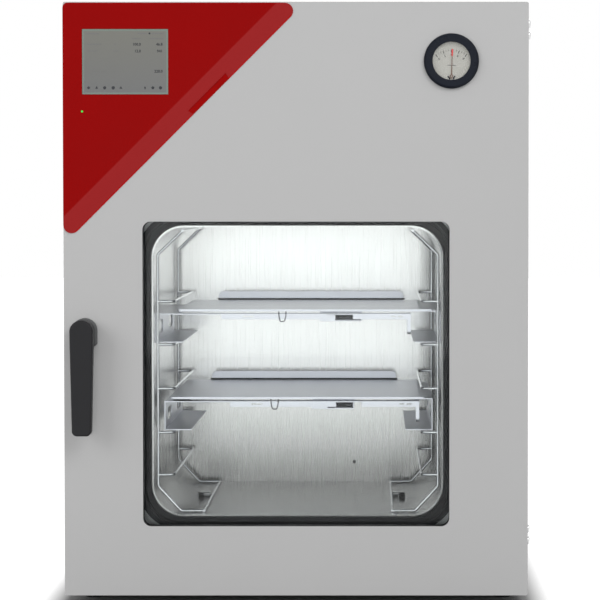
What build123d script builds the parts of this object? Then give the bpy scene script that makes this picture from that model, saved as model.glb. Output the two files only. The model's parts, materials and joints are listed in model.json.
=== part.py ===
from build123d import *
import math
import os

# Bench vacuum drying oven. Millimetres, +Z up, +X to the right, +Y into the oven.
# Origin: centre of the footprint, on the bench. Depths are measured back from the door's face.

# ---- driving dimensions -------------------------------------------------------------------
foot_h = 14.0
foot_r = 16.0
foot_inset = 29.0
foot_front_depth = 72.0
foot_rear_depth = 440.0

door_w = 634.0
door_h = 811.0
door_t = 48.0
door_corner = 3.0
door_sheet = 1.5
front_reach = 249.0

cabinet_w = 630.0
cabinet_h = 809.0
cabinet_gap = 8.0
cabinet_depth = 505.0
cabinet_corner = 4.0
sheet = 1.2
plate = 2.0

chamber_in = 400.0
chamber_deep = 343.0
chamber_corner = 42.5
chamber_wall = 2.5
chamber_back = 3.5
chamber_height = 303.6
chamber_mouth = 50.0

gasket_w = 19.5
gasket_corner = 62.0
gasket_t = 9.7
heater_t = 3.0
wool_t = 57.0
wool_back = 456.0

window_w = 419.0
window_h = 417.0
window_corner = 11.0
window_collar = 14.0
guard_t = 4.0
glass_t = 12.0
glass_w = 464.0
glass_corner = 20.0

hinge_x = 310.0
hinge_depth = 42.0
hinge_pin_r = 3.0
hinge_levels = (80.5, 775.0)
hinge_eye_r = 5.0
hinge_screw_pitch = 16.0
running_gap = 0.05

lever_x = -288.0
lever_level = 363.6
lever_len = 156.8
lever_w = 32.0
lever_tip_w = 26.0
lever_proud = 42.0
lever_t = 15.0
spindle_r = 5.0
cam_reach = 16.0
cam_t = 6.0
cam_depth = 40.0
keeper_half = 9.0
latch_gap = 0.5

red_w = 311.0
red_t = 2.4
red_band = 26.0
red_top_gap = 1.4
red_corner = 6.0
display_w = 117.4
display_h = 89.0
display_x = -232.0
display_level = 729.5
led_x = -290.8
led_level = 662.0
led_r = 1.5

gauge_x = 211.7
gauge_level = 730.5
gauge_r = 37.5
gauge_case_r = 31.0
gauge_case_deep = 28.0
dial_r = 26.6
dial_view_r = 25.8
needle_drop = 23.6
needle_len = 39.6
needle_lean = 2.0

wire_r = 2.0
rack_post_x = 196.0
rack_front_depth = 70.0
rack_rear_depth = 375.0
rack_rung_x = 173.5
rack_rung_levels = (156.7, 216.2, 277.8, 339.4, 400.0)
rack_post_low = 140.6
rack_post_high = 465.5
rack_top_x = 161.0
rack_top_level = 500.0
rack_foot_x = 132.0
rack_bend = 7.0
locator_w = 21.0
locator_h = 8.0

shelf_sheet = 1.5
shelf_deck_t = 2.0
shelf_w = 360.0
shelf_deep = 287.0
shelf_front = 75.0
shelf_lift = 43.5
shelf_flange = 38.0
cheek_lip = 34.0
cheek_overhang = 9.9
fence_w = 284.0
fence_h = 13.0
slide_drop = 4.2
slide_w = 358.0
slide_slots = (122.0, 130.0, 330.0, 340.0)
apron_h = 6.5
grip_drop = 27.5
spring_from_cheek = 240.8
spring_from_deck = 258.2
spring_window = 36.0
upper_rung = 3
lower_rung = 1

# ---- places worked out from them ----------------------------------------------------------
cabinet_front = door_t + cabinet_gap
chamber_out = chamber_in + 2 * chamber_wall
chamber_level = foot_h + chamber_height
chamber_rear = chamber_mouth + chamber_deep
chamber_floor = chamber_level - chamber_in / 2
gasket_front = cabinet_front - gasket_t
gasket_out = chamber_out + 2 * gasket_w
glass_front = gasket_front - glass_t
door_inner = door_w / 2 - door_sheet
cabinet_inner = cabinet_w / 2 - sheet
lever_z = foot_h + lever_level
window_centre = foot_h + chamber_height


def at(depth):
    """Y of a plane this far behind the door's face."""
    return depth - front_reach


def slab(sketch, d0, d1):
    """A sketch drawn in X and Z, raised from depth d0 back to depth d1."""
    front = Plane(origin=(0, at(d0), 0), x_dir=(1, 0, 0), z_dir=(0, -1, 0))
    return extrude(front * sketch, amount=-(d1 - d0))


def rise(sketch, z0, z1):
    """A plan sketch, drawn in X and Y, raised from z0 to z1."""
    return extrude(Pos(0, 0, z0) * sketch, amount=z1 - z0)


def across(sketch, x0, x1):
    """A side sketch, drawn in Y and Z, raised from x0 to x1."""
    side = Plane(origin=(x0, 0, 0), x_dir=(0, 1, 0), z_dir=(1, 0, 0))
    return extrude(side * sketch, amount=x1 - x0)


def block(x0, x1, d0, d1, z0, z1):
    """A box between two X, two depths and two heights."""
    centre = Pos((x0 + x1) / 2, at((d0 + d1) / 2), (z0 + z1) / 2)
    return centre * Box(abs(x1 - x0), abs(d1 - d0), abs(z1 - z0))


def rod(x, z, r, d0, d1):
    """A round bar along Y."""
    return slab(Pos(x, z) * Circle(r), d0, d1)


def post(x, d, r, z0, z1):
    """A round bar along Z."""
    return rise(Pos(x, at(d)) * Circle(r), z0, z1)


def pin_across(d, z, r, x0, x1):
    """A round bar along X."""
    return across(Pos(at(d), z) * Circle(r), x0, x1)


def ring(outer_w, outer_h, outer_r, inner_w, inner_h, inner_r):
    """A rounded picture-frame outline about its own centre."""
    return RectangleRounded(outer_w, outer_h, outer_r) - RectangleRounded(inner_w, inner_h, inner_r)


def turned(points, x, z):
    """A profile of (radius, depth) points spun about an axis along Y through (x, z)."""
    outline = make_face(Polyline(*[(r, d) for r, d in points], close=True))
    spun = revolve(outline, axis=Axis.Y)
    return Pos(x, at(0), z) * spun


def wire(points, bend, r):
    """A round wire along straight runs with bent corners."""
    path = FilletPolyline(*points, radius=bend) if len(points) > 2 else Polyline(*points)
    start = Plane(origin=path @ 0, z_dir=path % 0)
    return sweep(start * Circle(r), path=path)


def save(name, *solids):
    """Write one piece, or one group of like pieces, as a STEP file."""
    shape = solids[0] if len(solids) == 1 else Compound(children=list(solids))
    shape.label = name
    export_step(shape, f"parts/{name}.step")


# ---- cabinet ------------------------------------------------------------------------------
def outer_casing():
    """Top and both sides, folded from one sheet, with inward lips at the back."""
    top = foot_h + cabinet_h
    middle = foot_h + cabinet_h / 2
    outside = Pos(0, middle) * Rectangle(cabinet_w, cabinet_h)
    outside = fillet(outside.vertices().group_by(Axis.Y)[-1], cabinet_corner)
    inside = Pos(0, middle - sheet) * Rectangle(cabinet_w - 2 * sheet, cabinet_h)
    shell = slab(outside - inside, cabinet_front + plate, cabinet_depth - sheet)
    lip_in = 14.0
    hollow = Pos(0, middle - lip_in) * Rectangle(cabinet_w - 2 * lip_in, cabinet_h)
    lip = slab(outside - hollow, cabinet_depth - 2 * sheet, cabinet_depth - sheet)
    shell = shell + lip
    for side in (-1, 1):
        for height in casing_screw_levels():
            hole = rod(side * casing_screw_x(), height, 2.0, cabinet_depth - 6, cabinet_depth + 1)
            shell = shell - hole
    for x in casing_top_screws():
        shell = shell - rod(x, top - 7, 2.0, cabinet_depth - 6, cabinet_depth + 1)
    return shell


def casing_screw_x():
    """How far out the back screws stand."""
    return cabinet_w / 2 - 7


def casing_screw_levels():
    """Heights of the screws down each back edge."""
    count = 4
    pitch = (cabinet_h - 120) / (count - 1)
    return [foot_h + 60 + i * pitch for i in range(count)]


def casing_top_screws():
    """X of the screws along the top back edge."""
    return [-cabinet_w / 4, 0, cabinet_w / 4]


port_x = 76.0
port_level = 134.0
port_bore_r = 8.0
port_tube_r = 10.0
port_flange_r = 15.0
gas_x = -70.0
gas_tube_r = 5.0
gas_rise = 34.0
port_rear = 540.0
inlet_x = -230.0
inlet_z = 640.0
inlet_w = 28.0
inlet_h = 48.0
socket_x = -150.0
socket_w = 17.0
socket_h = 14.5


def gas_level():
    """Height of the gas tube, above the chamber's roof and its mat."""
    return chamber_level + chamber_out / 2 + gas_rise


def rear_panel():
    """Back sheet with cooling slots, port holes, and the openings for inlet and socket."""
    middle = foot_h + cabinet_h / 2
    face = Pos(0, middle) * RectangleRounded(cabinet_w, cabinet_h, cabinet_corner)
    holes = Pos(port_x, foot_h + port_level) * Circle(port_flange_r + 6)
    holes += Pos(gas_x, gas_level()) * Circle(gas_tube_r + 4)
    holes += Pos(inlet_x, inlet_z) * Rectangle(inlet_w, inlet_h)
    holes += Pos(socket_x, inlet_z) * Rectangle(socket_w, socket_h)
    slot_w = 46.0
    slot_h = 5.0
    for column in range(4):
        for row in range(7):
            x = 20 + column * 66
            z = foot_h + cabinet_h - 70 - row * 14
            holes += Pos(x, z) * SlotOverall(slot_w, slot_h)
    for side in (-1, 1):
        for height in casing_screw_levels():
            holes += Pos(side * casing_screw_x(), height) * Circle(2.0)
    for x in casing_top_screws():
        holes += Pos(x, foot_h + cabinet_h - 7) * Circle(2.0)
    return slab(face - holes, cabinet_depth - sheet, cabinet_depth)


def casing_screws():
    """Pan-head screws that hold the back sheet to the casing."""
    places = [(s * casing_screw_x(), z) for s in (-1, 1) for z in casing_screw_levels()]
    places += [(x, foot_h + cabinet_h - 7) for x in casing_top_screws()]
    screws = []
    for x, z in places:
        shank = rod(x, z, 2.0, cabinet_depth - 5, cabinet_depth)
        head = rod(x, z, 4.0, cabinet_depth, cabinet_depth + 2.4)
        head = fillet(head.edges().group_by(Axis.Y)[-1], 1.4)
        screws.append(shank + head)
    return screws


def base_tray():
    """Floor pan with upturned edges, on the feet."""
    w = cabinet_inner * 2
    d0 = cabinet_front + plate
    d1 = cabinet_depth - 2 * sheet
    pan = block(-w / 2, w / 2, d0, d1, foot_h, foot_h + sheet)
    rim = 20.0
    for side in (-1, 1):
        x = side * w / 2
        pan += block(x - side * sheet, x, d0, d1, foot_h, foot_h + rim)
    pan += block(-w / 2, w / 2, d1 - sheet, d1, foot_h, foot_h + rim)
    for x, d in foot_places():
        pan -= post(x, d, 4.0, foot_h - 1, foot_h + 3)
    return pan


def foot_places():
    """Centres of the feet in plan."""
    x = cabinet_w / 2 - foot_inset
    return [(s * x, d) for s in (-1, 1) for d in (foot_front_depth, foot_rear_depth)]


def feet():
    """Rubber feet, narrower at the bench, each on its stud and nut."""
    pieces = []
    for x, d in foot_places():
        cone = Pos(x, at(d), foot_h / 2) * Cone(foot_r - 3.5, foot_r, foot_h)
        stud = post(x, d, 4.0, foot_h, foot_h + 8)
        nut = rise(Pos(x, at(d)) * RegularPolygon(7.0, 6), foot_h + sheet, foot_h + sheet + 5)
        pieces.append(cone + stud + nut)
    return pieces


def front_frame():
    """Steel front plate round the chamber's mouth, folded back into the casing."""
    middle = foot_h + cabinet_h / 2
    face = Pos(0, middle) * RectangleRounded(cabinet_w, cabinet_h, cabinet_corner)
    clear = 0.3
    mouth = RectangleRounded(chamber_out + clear, chamber_out + clear, chamber_corner + chamber_wall)
    holes = Pos(0, chamber_level) * mouth
    for x, z in frame_screws():
        holes += Pos(x, z) * Circle(2.5)
    frame = slab(face - holes, cabinet_front, cabinet_front + plate)
    fold = 18.0
    rim_out = Pos(0, middle) * Rectangle(cabinet_inner * 2, cabinet_h - 2 * sheet)
    rim_in = Pos(0, middle) * Rectangle((cabinet_inner - plate) * 2, cabinet_h - 2 * sheet - 2 * plate)
    base_d = cabinet_front + plate
    rim = slab(rim_out - rim_in, base_d, base_d + fold)
    pan_room = block(-cabinet_inner, cabinet_inner, base_d, base_d + fold, foot_h, foot_h + 21)
    return frame + (rim - pan_room)


def frame_screws():
    """X and Z of the screws through the front plate: hinge brackets, then the keeper."""
    places = []
    for level in hinge_levels:
        places += [(bracket_x(), foot_h + level + s * bracket_screw_rise()) for s in (-1, 1)]
    places += [(keeper_screw_x(), lever_z + s * keeper_screw_rise()) for s in (-1, 1)]
    return places


def bracket_x():
    """X of the hinge bracket's plate."""
    return hinge_x - 12


def bracket_screw_rise():
    """How far the bracket's screws stand above and below its arm."""
    return 17.0


def keeper_x():
    """X of the riser of the latch keeper."""
    return lever_x + cam_reach + 12


def lip_x():
    """X of the keeper's lip, just clear of the cam's nose."""
    return lever_x + cam_reach + latch_gap


def keeper_screw_rise():
    """How far the keeper's screws stand above and below its middle."""
    return 17.0


def hinge_brackets():
    """Plate, arm and eye of each hinge, on the front plate."""
    brackets = []
    plate_t = 3.0
    arm_h = 12.0
    for level in hinge_levels:
        z = foot_h + level
        front = cabinet_front - plate_t
        base = slab(
            Pos(bracket_x(), z) * RectangleRounded(30, 48, 3), front, cabinet_front
        )
        arm = block(hinge_x - 4.5, hinge_x + 3, hinge_depth, front, z - arm_h / 2, z + arm_h / 2)
        eye = post(hinge_x, hinge_depth, hinge_eye_r, z - arm_h / 2, z + arm_h / 2)
        body = base + arm + eye
        body -= post(hinge_x, hinge_depth, hinge_pin_r, z - arm_h, z + arm_h)
        for s in (-1, 1):
            body -= rod(bracket_x(), z + s * bracket_screw_rise(), 2.5, front - 1, cabinet_front + 1)
        brackets.append(body)
    return brackets


def hinge_pins():
    """Hardened pins, fast in the brackets' eyes."""
    half = 22.0
    pins = []
    for level in hinge_levels:
        z = foot_h + level
        pin = post(hinge_x, hinge_depth, hinge_pin_r, z - half, z + half)
        pins.append(chamfer(pin.edges().filter_by(GeomType.CIRCLE), 0.6))
    return pins


def flange_screws():
    """Countersunk-look screws of brackets and keeper, through the front plate."""
    screws = []
    for x, z in frame_screws():
        shank = rod(x, z, 2.5, cabinet_front - 3, cabinet_front + 8)
        head = rod(x, z, 4.5, cabinet_front - 4.6, cabinet_front - 3)
        screws.append(shank + fillet(head.edges().group_by(Axis.Y)[0], 1.0))
    return screws


def latch_keeper():
    """Z-shaped catch on the front plate: foot, riser, and a lip in front of the cam's nose."""
    plate_t = 3.0
    front = cabinet_front - plate_t
    lip_front = cam_depth - 0.5 - plate_t
    foot_x = keeper_screw_x()
    base = slab(Pos(foot_x, lever_z) * RectangleRounded(22, 48, 3), front, cabinet_front)
    for s in (-1, 1):
        base -= rod(foot_x, lever_z + s * keeper_screw_rise(), 2.5, front - 1, cabinet_front + 1)
    low = lever_z - keeper_half
    high = lever_z + keeper_half
    riser = block(keeper_x() - plate_t, keeper_x(), lip_front, front, low, high)
    lip = block(lip_x(), keeper_x(), lip_front, lip_front + plate_t, low, high)
    return base + riser + lip


def keeper_screw_x():
    """X of the keeper's foot and screws."""
    return keeper_x() + 8


def chamber():
    """Welded stainless box with rounded corners, open at the front."""
    outer = Pos(0, chamber_level) * RectangleRounded(
        chamber_out, chamber_out, chamber_corner + chamber_wall
    )
    inner = Pos(0, chamber_level) * RectangleRounded(chamber_in, chamber_in, chamber_corner)
    body = slab(outer, chamber_mouth, chamber_rear + chamber_back)
    body -= slab(inner, chamber_mouth - 1, chamber_rear)
    body -= rod(port_x, foot_h + port_level, 2.6, chamber_rear - 1, chamber_rear + 10)
    roof = chamber_level + chamber_in / 2
    body -= post(gas_x, gas_depth(), 2.5, roof - 1, roof + 10)
    return body


def gas_depth():
    """Depth of the gas inlet in the chamber's roof."""
    return chamber_rear - 45


def chamber_gasket():
    """Silicone seal round the mouth, with a rounded face and a groove."""
    clear = 0.5
    outline = ring(
        gasket_out, gasket_out, gasket_corner,
        chamber_out + 2 * clear, chamber_out + 2 * clear, chamber_corner + chamber_wall + clear,
    )
    seal = slab(Pos(0, chamber_level) * outline, gasket_front, cabinet_front)
    mid = (gasket_out + chamber_out) / 2
    mid_r = (gasket_corner + chamber_corner) / 2
    groove = ring(mid + 4, mid + 4, mid_r + 1, mid - 4, mid - 4, mid_r - 3)
    return seal - slab(Pos(0, chamber_level) * groove, gasket_front - 1, gasket_front + 2.5)


def heater_mats():
    """Silicone heating mats on the chamber's four outer walls."""
    half_w = chamber_in / 2 - chamber_corner
    out = chamber_out / 2
    d0 = chamber_mouth + 26
    d1 = chamber_rear - 8
    mats = []
    for side in (-1, 1):
        x = side * out
        mats.append(
            block(x, x + side * heater_t, d0, d1, chamber_level - half_w, chamber_level + half_w)
        )
    z = chamber_level - out
    mats.append(block(-half_w, half_w, d0, d1, z - heater_t, z))
    z = chamber_level + out
    roof = block(-half_w, half_w, d0, d1, z, z + heater_t)
    roof -= post(gas_x, gas_depth(), gas_tube_r + 3, z - 1, z + heater_t + 1)
    roof -= block(40, 72, 190, 214, z - 1, z + heater_t + 1)
    mats.append(roof)
    return mats


def wall_sensor():
    """Resistance thermometer clamped on the chamber's roof, in a gap in the mat."""
    z = chamber_level + chamber_out / 2
    head = block(44, 68, 194, 210, z, z + 7)
    stem = post(56, 202, 2.5, z + 7, z + 24)
    return head + stem


def insulation():
    """Mineral wool jacket round the chamber and behind it."""
    half = chamber_out / 2 + heater_t + 0.2
    out = half + wool_t
    d0 = cabinet_front + plate + 19
    square = Pos(0, chamber_level) * Rectangle(2 * out, 2 * out)
    hole = Pos(0, chamber_level) * RectangleRounded(2 * half, 2 * half, chamber_corner)
    wool = slab(square, d0, wool_back)
    wool -= slab(hole, d0 - 1, chamber_rear + chamber_back)
    wool -= rod(port_x, foot_h + port_level, port_tube_r + 1, chamber_rear, wool_back + 1)
    top = chamber_level + half
    room = gas_tube_r + 4.5
    low = gas_level() - room
    high = gas_level() + room
    wool -= post(gas_x, gas_depth(), room, top - 1, high)
    wool -= block(gas_x - room, gas_x + room, gas_depth(), wool_back + 1, low, high)
    wool -= block(43, 69, 193, 211, top - 1, top + 26)
    return wool


def vacuum_port():
    """Pump connection: tube from the back wall to a small clamp flange."""
    back = chamber_rear + chamber_back
    points = [
        (port_bore_r, back + 8), (2.6, back + 8), (2.6, back), (port_tube_r, back),
        (port_tube_r, port_rear - 6), (port_flange_r, port_rear - 3),
        (port_flange_r, port_rear), (port_bore_r, port_rear),
    ]
    return turned(points, port_x, foot_h + port_level)


def vacuum_valve():
    """Solenoid valve block on the pump tube, with its coil above."""
    z = foot_h + port_level
    body = block(port_x - 20, port_x + 20, wool_back + 4, cabinet_depth - 14, z - 20, z + 20)
    body -= rod(port_x, z, port_tube_r, wool_back, cabinet_depth)
    coil = post(port_x, (wool_back + cabinet_depth - 10) / 2, 13.0, z + 20, z + 62)
    return body + fillet(coil.edges().group_by(Axis.Z)[-1], 2.0)


def gas_port():
    """Inert gas line: up from the roof, back through the wool, out to a hose barb."""
    roof = chamber_level + chamber_out / 2
    z = gas_level()
    path = [
        (gas_x, at(gas_depth()), roof), (gas_x, at(gas_depth()), z),
        (gas_x, at(cabinet_depth + 6), z),
    ]
    tube = wire(path, 16.0, gas_tube_r)
    for barb in range(3):
        d = cabinet_depth + 6 + barb * 7
        cone = Pos(gas_x, at(d + 3.5), z) * Rot(-90, 0, 0) * Cone(gas_tube_r + 0.8, gas_tube_r - 1.2, 7)
        tube += cone
    tube += slab(Pos(gas_x, z) * RegularPolygon(8.5, 6), cabinet_depth, cabinet_depth + 6)
    return tube


def mains_inlet():
    """Three-pin appliance inlet with its body behind the sheet."""
    x = inlet_x
    low = inlet_z - inlet_h / 2
    shroud_h = 26.0
    frame_t = 2.0
    body = block(
        x - inlet_w / 2, x + inlet_w / 2, cabinet_depth - 24, cabinet_depth, low, low + inlet_h
    )
    rim = slab(
        Pos(x, inlet_z) * RectangleRounded(inlet_w + 6, inlet_h + 6, 3),
        cabinet_depth, cabinet_depth + frame_t,
    )
    body += rim
    well = Pos(x, low + shroud_h / 2 + 1) * Rectangle(24, 17)
    well = chamfer(well.vertices().group_by(Axis.Y)[-1], 4.0)
    body -= slab(well, cabinet_depth - 16, cabinet_depth + 3)
    for dx, dz in ((-7, -2), (7, -2), (0, 3)):
        body += block(
            x + dx - 2, x + dx + 2, cabinet_depth - 16, cabinet_depth - 1,
            low + shroud_h / 2 + dz - 1, low + shroud_h / 2 + dz + 1,
        )
    body -= switch_well()
    return body


def switch_z():
    """Height of the mains rocker."""
    return inlet_z + inlet_h / 2 - 10


def switch_well():
    """The recess that the mains rocker tilts in."""
    z = switch_z()
    return block(inlet_x - 10, inlet_x + 10, cabinet_depth - 9, cabinet_depth + 4, z - 7.5, z + 7.5)


def main_switch():
    """Rocker in its well, tilted to off about the axis along X."""
    z = switch_z()
    d = cabinet_depth - 3
    profile = Polyline((-6.6, 0), (6.6, 0), (6.6, 2.5), (0, 4.2), (-6.6, 2.5), close=True)
    rocker = across(make_face(profile), inlet_x - 8.5, inlet_x + 8.5)
    rocker = Pos(0, at(d), z) * Rot(0, 0, 0) * (Rot(-90, 0, 0) * rocker)
    return Pos(0, at(d), z) * Rot(-8, 0, 0) * Pos(0, -at(d), -z) * rocker


def interface_socket():
    """Network socket let into the back sheet."""
    body = block(
        socket_x - socket_w / 2, socket_x + socket_w / 2, cabinet_depth - 18, cabinet_depth + 1,
        inlet_z - socket_h / 2, inlet_z + socket_h / 2,
    )
    well = block(
        socket_x - 6.5, socket_x + 6.5, cabinet_depth - 14, cabinet_depth + 2,
        inlet_z - 5, inlet_z + 4,
    )
    return body - well


tray_level = 602.0


def electronics_tray():
    """Shelf across the cabinet above the wool, with its edges turned down on the sides."""
    w = cabinet_inner
    z = foot_h + tray_level
    d0 = cabinet_front + plate + 20
    d1 = cabinet_depth - 30
    tray = block(-w, w, d0, d1, z, z + sheet)
    for side in (-1, 1):
        tray += block(side * (w - sheet), side * w, d0, d1, z - 18, z + sheet)
    return tray


def power_board():
    """Circuit board on pillars, with relays, capacitors and terminals."""
    z = foot_h + tray_level + sheet
    board_z = z + 10
    board = block(-150, 30, 120, 300, board_z, board_z + 1.6)
    for x in (-142, 22):
        for d in (128, 292):
            board += post(x, d, 3.5, z, board_z)
    for i in range(4):
        board += block(-140 + i * 32, -116 + i * 32, 140, 170, board_z + 1.6, board_z + 20)
    for i in range(3):
        board += post(-125 + i * 40, 215, 11.0, board_z + 1.6, board_z + 32)
    board += block(-130, 10, 268, 282, board_z + 1.6, board_z + 14)
    return board


def power_supply():
    """Enclosed supply beside the board."""
    z = foot_h + tray_level + sheet
    box = block(80, 195, 130, 320, z, z + 48)
    return chamfer(box.edges().filter_by(Axis.Y).group_by(Axis.Z)[-1], 3.0)


def pressure_sensor():
    """Absolute pressure cell standing on the gas tube's elbow side of the tray."""
    z = foot_h + tray_level + sheet
    cell = post(-230, 330, 17.0, z, z + 26)
    cell = fillet(cell.edges().group_by(Axis.Z)[-1], 3.0)
    return cell + post(-230, 330, 6.0, z + 26, z + 42)


# ---- door ---------------------------------------------------------------------------------
def door_outline(shrink=0.0):
    """The door's rectangle in X and Z."""
    w = door_w - 2 * shrink
    h = door_h - 2 * shrink
    r = max(door_corner - shrink, 0.6)
    return Pos(0, foot_h + door_h / 2) * RectangleRounded(w, h, r)


def window_hole(grow=0.0):
    """The window's rectangle in X and Z."""
    outline = RectangleRounded(window_w + 2 * grow, window_h + 2 * grow, window_corner + grow)
    return Pos(0, window_centre) * outline


def hinge_notch(level):
    """Room in the door for one bracket's arm through the whole swing."""
    z = foot_h + level
    return block(hinge_x - 16, door_w / 2 + 2, hinge_depth - 9, door_t + 1, z - 7, z + 7)


def door_panel():
    """Front sheet folded back on four sides, with the window's collar."""
    face = door_outline() - window_hole()
    face -= Pos(gauge_x, foot_h + gauge_level) * Circle(gauge_case_r + 0.5)
    face -= Pos(lever_x, lever_z) * Circle(spindle_r + 4)
    face -= Pos(display_x, foot_h + display_level) * Rectangle(display_w + 1, display_h + 1)
    face -= Pos(led_x, foot_h + led_level) * Circle(led_r + 0.5)
    shell = slab(face, 0, door_sheet)
    shell += slab(door_outline() - door_outline(door_sheet), door_sheet, door_t)
    shell += slab(window_hole(door_sheet) - window_hole(), door_sheet, window_collar)
    for level in hinge_levels:
        shell -= hinge_notch(level)
        for z in hinge_screw_heights(level):
            shell -= pin_across(hinge_screw_depth(), z, 3.0, door_inner - 4, door_w / 2 + 2)
    return shell


def hinge_screw_depth():
    """Depth of the screws on the door's side."""
    return 23.0


def hinge_screw_heights(level):
    """Heights of one hinge's two side screws."""
    z = foot_h + level
    return [z - hinge_screw_pitch / 2, z + hinge_screw_pitch / 2]


def door_back_cover():
    """Back plate of the door: it holds the glass by its rim."""
    hold = 4.0
    clear = 0.2
    w = glass_w - 2 * hold
    window = Pos(0, chamber_level) * RectangleRounded(w, w, glass_corner)
    face = door_outline(door_sheet)
    slot = Pos((lip_x() + keeper_x()) / 2, lever_z) * Rectangle(keeper_x() - lip_x() + 6, 2 * keeper_half + 6)
    plate_d = gasket_front + clear
    cover = slab(face - window - slot, plate_d, door_t)
    for level in hinge_levels:
        cover -= hinge_notch(level)
        z = foot_h + level
        cover -= block(hinge_x - 16, door_inner, plate_d - 1, door_t + 1, z - 26, z + 26)
    return cover


def hinge_blocks():
    """Steel blocks in the door with the bores that turn on the pins."""
    blocks = []
    half = 24.0
    for level in hinge_levels:
        z = foot_h + level
        body = block(hinge_x - 14, door_inner, 15, door_t - 0.5, z - half, z + half)
        body = chamfer(body.edges().filter_by(Axis.Z).group_by(Axis.X)[0], 3.0)
        body -= hinge_notch(level)
        body -= post(hinge_x, hinge_depth, hinge_pin_r + running_gap, z - half - 1, z + half + 1)
        for height in hinge_screw_heights(level):
            body -= pin_across(hinge_screw_depth(), height, 3.0, door_inner - 12, door_w / 2)
        blocks.append(body)
    return blocks


def hinge_screws():
    """Button-head screws through the door's side into the hinge blocks."""
    screws = []
    for level in hinge_levels:
        for z in hinge_screw_heights(level):
            d = hinge_screw_depth()
            shank = pin_across(d, z, 3.0, door_inner - 12, door_w / 2)
            head = pin_across(d, z, 6.0, door_w / 2, door_w / 2 + 4.0)
            head = fillet(head.edges().group_by(Axis.X)[-1], 2.5)
            socket = across(
                Pos(at(d), z) * RegularPolygon(2.3, 6), door_w / 2 + 2, door_w / 2 + 5
            )
            screws.append(shank + head - socket)
    return screws


def shatter_guard():
    """Clear plastic pane against the window's collar."""
    w = window_w + 30
    h = window_h + 30
    outline = Pos(0, window_centre) * RectangleRounded(w, h, window_corner + 6)
    return slab(outline, window_collar, window_collar + guard_t)


def glass_pane():
    """Toughened pane that the vacuum pulls on to the seal."""
    outline = Pos(0, chamber_level) * RectangleRounded(glass_w, glass_w, glass_corner)
    pane = slab(outline, glass_front, gasket_front)
    rims = pane.edges().group_by(Axis.Y)
    return chamfer(rims[0] + rims[-1], 1.0)


def glass_frame():
    """Spacer between the two panes, with a foot that keeps the glass in place."""
    inner = window_w + 13
    front = window_collar + guard_t
    rear = glass_front - 3.0
    outline = ring(glass_w + 12, glass_w + 12, glass_corner + 6, inner, inner, glass_corner - 6)
    body = slab(Pos(0, chamber_level) * outline, front, rear)
    skirt = ring(
        glass_w + 12, glass_w + 12, glass_corner + 6, glass_w + 1, glass_w + 1, glass_corner + 0.5
    )
    return body + slab(Pos(0, chamber_level) * skirt, rear, gasket_front)


def glass_springs():
    """Leaf springs that press the glass back towards the seal."""
    springs = []
    reach = glass_w / 2 - 8
    gap = 3.0
    leaf = 0.6
    span = 40.0
    rear = glass_front
    for i in range(8):
        outer = ThreePointArc((-span / 2, 0), (0, gap - 0.1), (span / 2, 0))
        inner = ThreePointArc((span / 2 - leaf, 0), (0, gap - 0.1 - leaf), (-span / 2 + leaf, 0))
        edges = [outer, Line((span / 2, 0), (span / 2 - leaf, 0)), inner]
        edges.append(Line((-span / 2 + leaf, 0), (-span / 2, 0)))
        leaf_shape = extrude(make_face(edges), amount=5, both=True)
        along = 110 if i % 2 else -110
        if i < 4:
            side = 1 if i < 2 else -1
            place = Pos(along, at(rear - gap), chamber_level + side * reach)
            springs.append(place * leaf_shape)
        else:
            side = 1 if i < 6 else -1
            place = Pos(side * reach, at(rear - gap), chamber_level + along)
            springs.append(place * Rot(0, 90, 0) * leaf_shape)
    return springs


def handle_lever():
    """Tapered grip with a round head, standing off the door on its neck."""
    r = lever_w / 2
    top = lever_z
    tip = lever_z + r - lever_len
    half_tip = lever_tip_w / 2
    corner = 7.0
    arch = ThreePointArc((-r, 0), (0, r), (r, 0))
    low = tip - top
    right = Line((r, 0), (half_tip, low))
    bottom = Line((half_tip, low), (-half_tip, low))
    left = Line((-half_tip, low), (-r, 0))
    outline = make_face([arch, right, bottom, left])
    outline = fillet(outline.vertices().group_by(Axis.Y)[0], corner)
    grip = slab(Pos(lever_x, top) * outline, -lever_proud, -lever_proud + lever_t)
    grip = fillet(grip.edges().group_by(Axis.Y)[0], 3.0)
    neck = rod(lever_x, top, r - 2, -lever_proud + lever_t, -base_proud() - 0.3)
    body = grip + neck
    bore = rod(lever_x, top, spindle_r, -lever_proud + lever_t - 4, 0)
    return body - bore


def base_proud():
    """How far the handle's base stands off the door."""
    return 13.0


def handle_base():
    """Base under the lever, round at the top and cut square below, with the spindle's bush."""
    half = 17.0
    low = -22.0
    arch = ThreePointArc((-half, 0), (0, half), (half, 0))
    sides = [Line((half, 0), (half, low)), Line((half, low), (-half, low)), Line((-half, low), (-half, 0))]
    outline = make_face([arch] + sides)
    outline = chamfer(outline.vertices().group_by(Axis.Y)[0], 4.0)
    body = slab(Pos(lever_x, lever_z) * outline, -base_proud(), 0)
    body = chamfer(body.edges().group_by(Axis.Y)[0], 1.5)
    body += rod(lever_x, lever_z, spindle_r + 4, 0, door_t - 20)
    return body - rod(lever_x, lever_z, spindle_r + running_gap, -base_proud() - 1, door_t)


def handle_spindle():
    """Shaft from the lever through the base to the cam."""
    shaft = rod(lever_x, lever_z, spindle_r, -lever_proud + lever_t - 4, door_t - 2)
    return shaft


def latch_cam():
    """Cam on the spindle's end; its nose stands just short of the keeper's lip when closed."""
    hub = Circle(9.5)
    nose = Pos(cam_reach / 2, 0) * Rectangle(cam_reach, 11)
    nose = fillet(nose.vertices().group_by(Axis.X)[-1], 2.0)
    outline = Pos(lever_x, lever_z) * (hub + nose)
    cam = slab(outline, cam_depth, cam_depth + cam_t)
    return cam - rod(lever_x, lever_z, spindle_r, cam_depth - 1, cam_depth + cam_t + 1)


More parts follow.
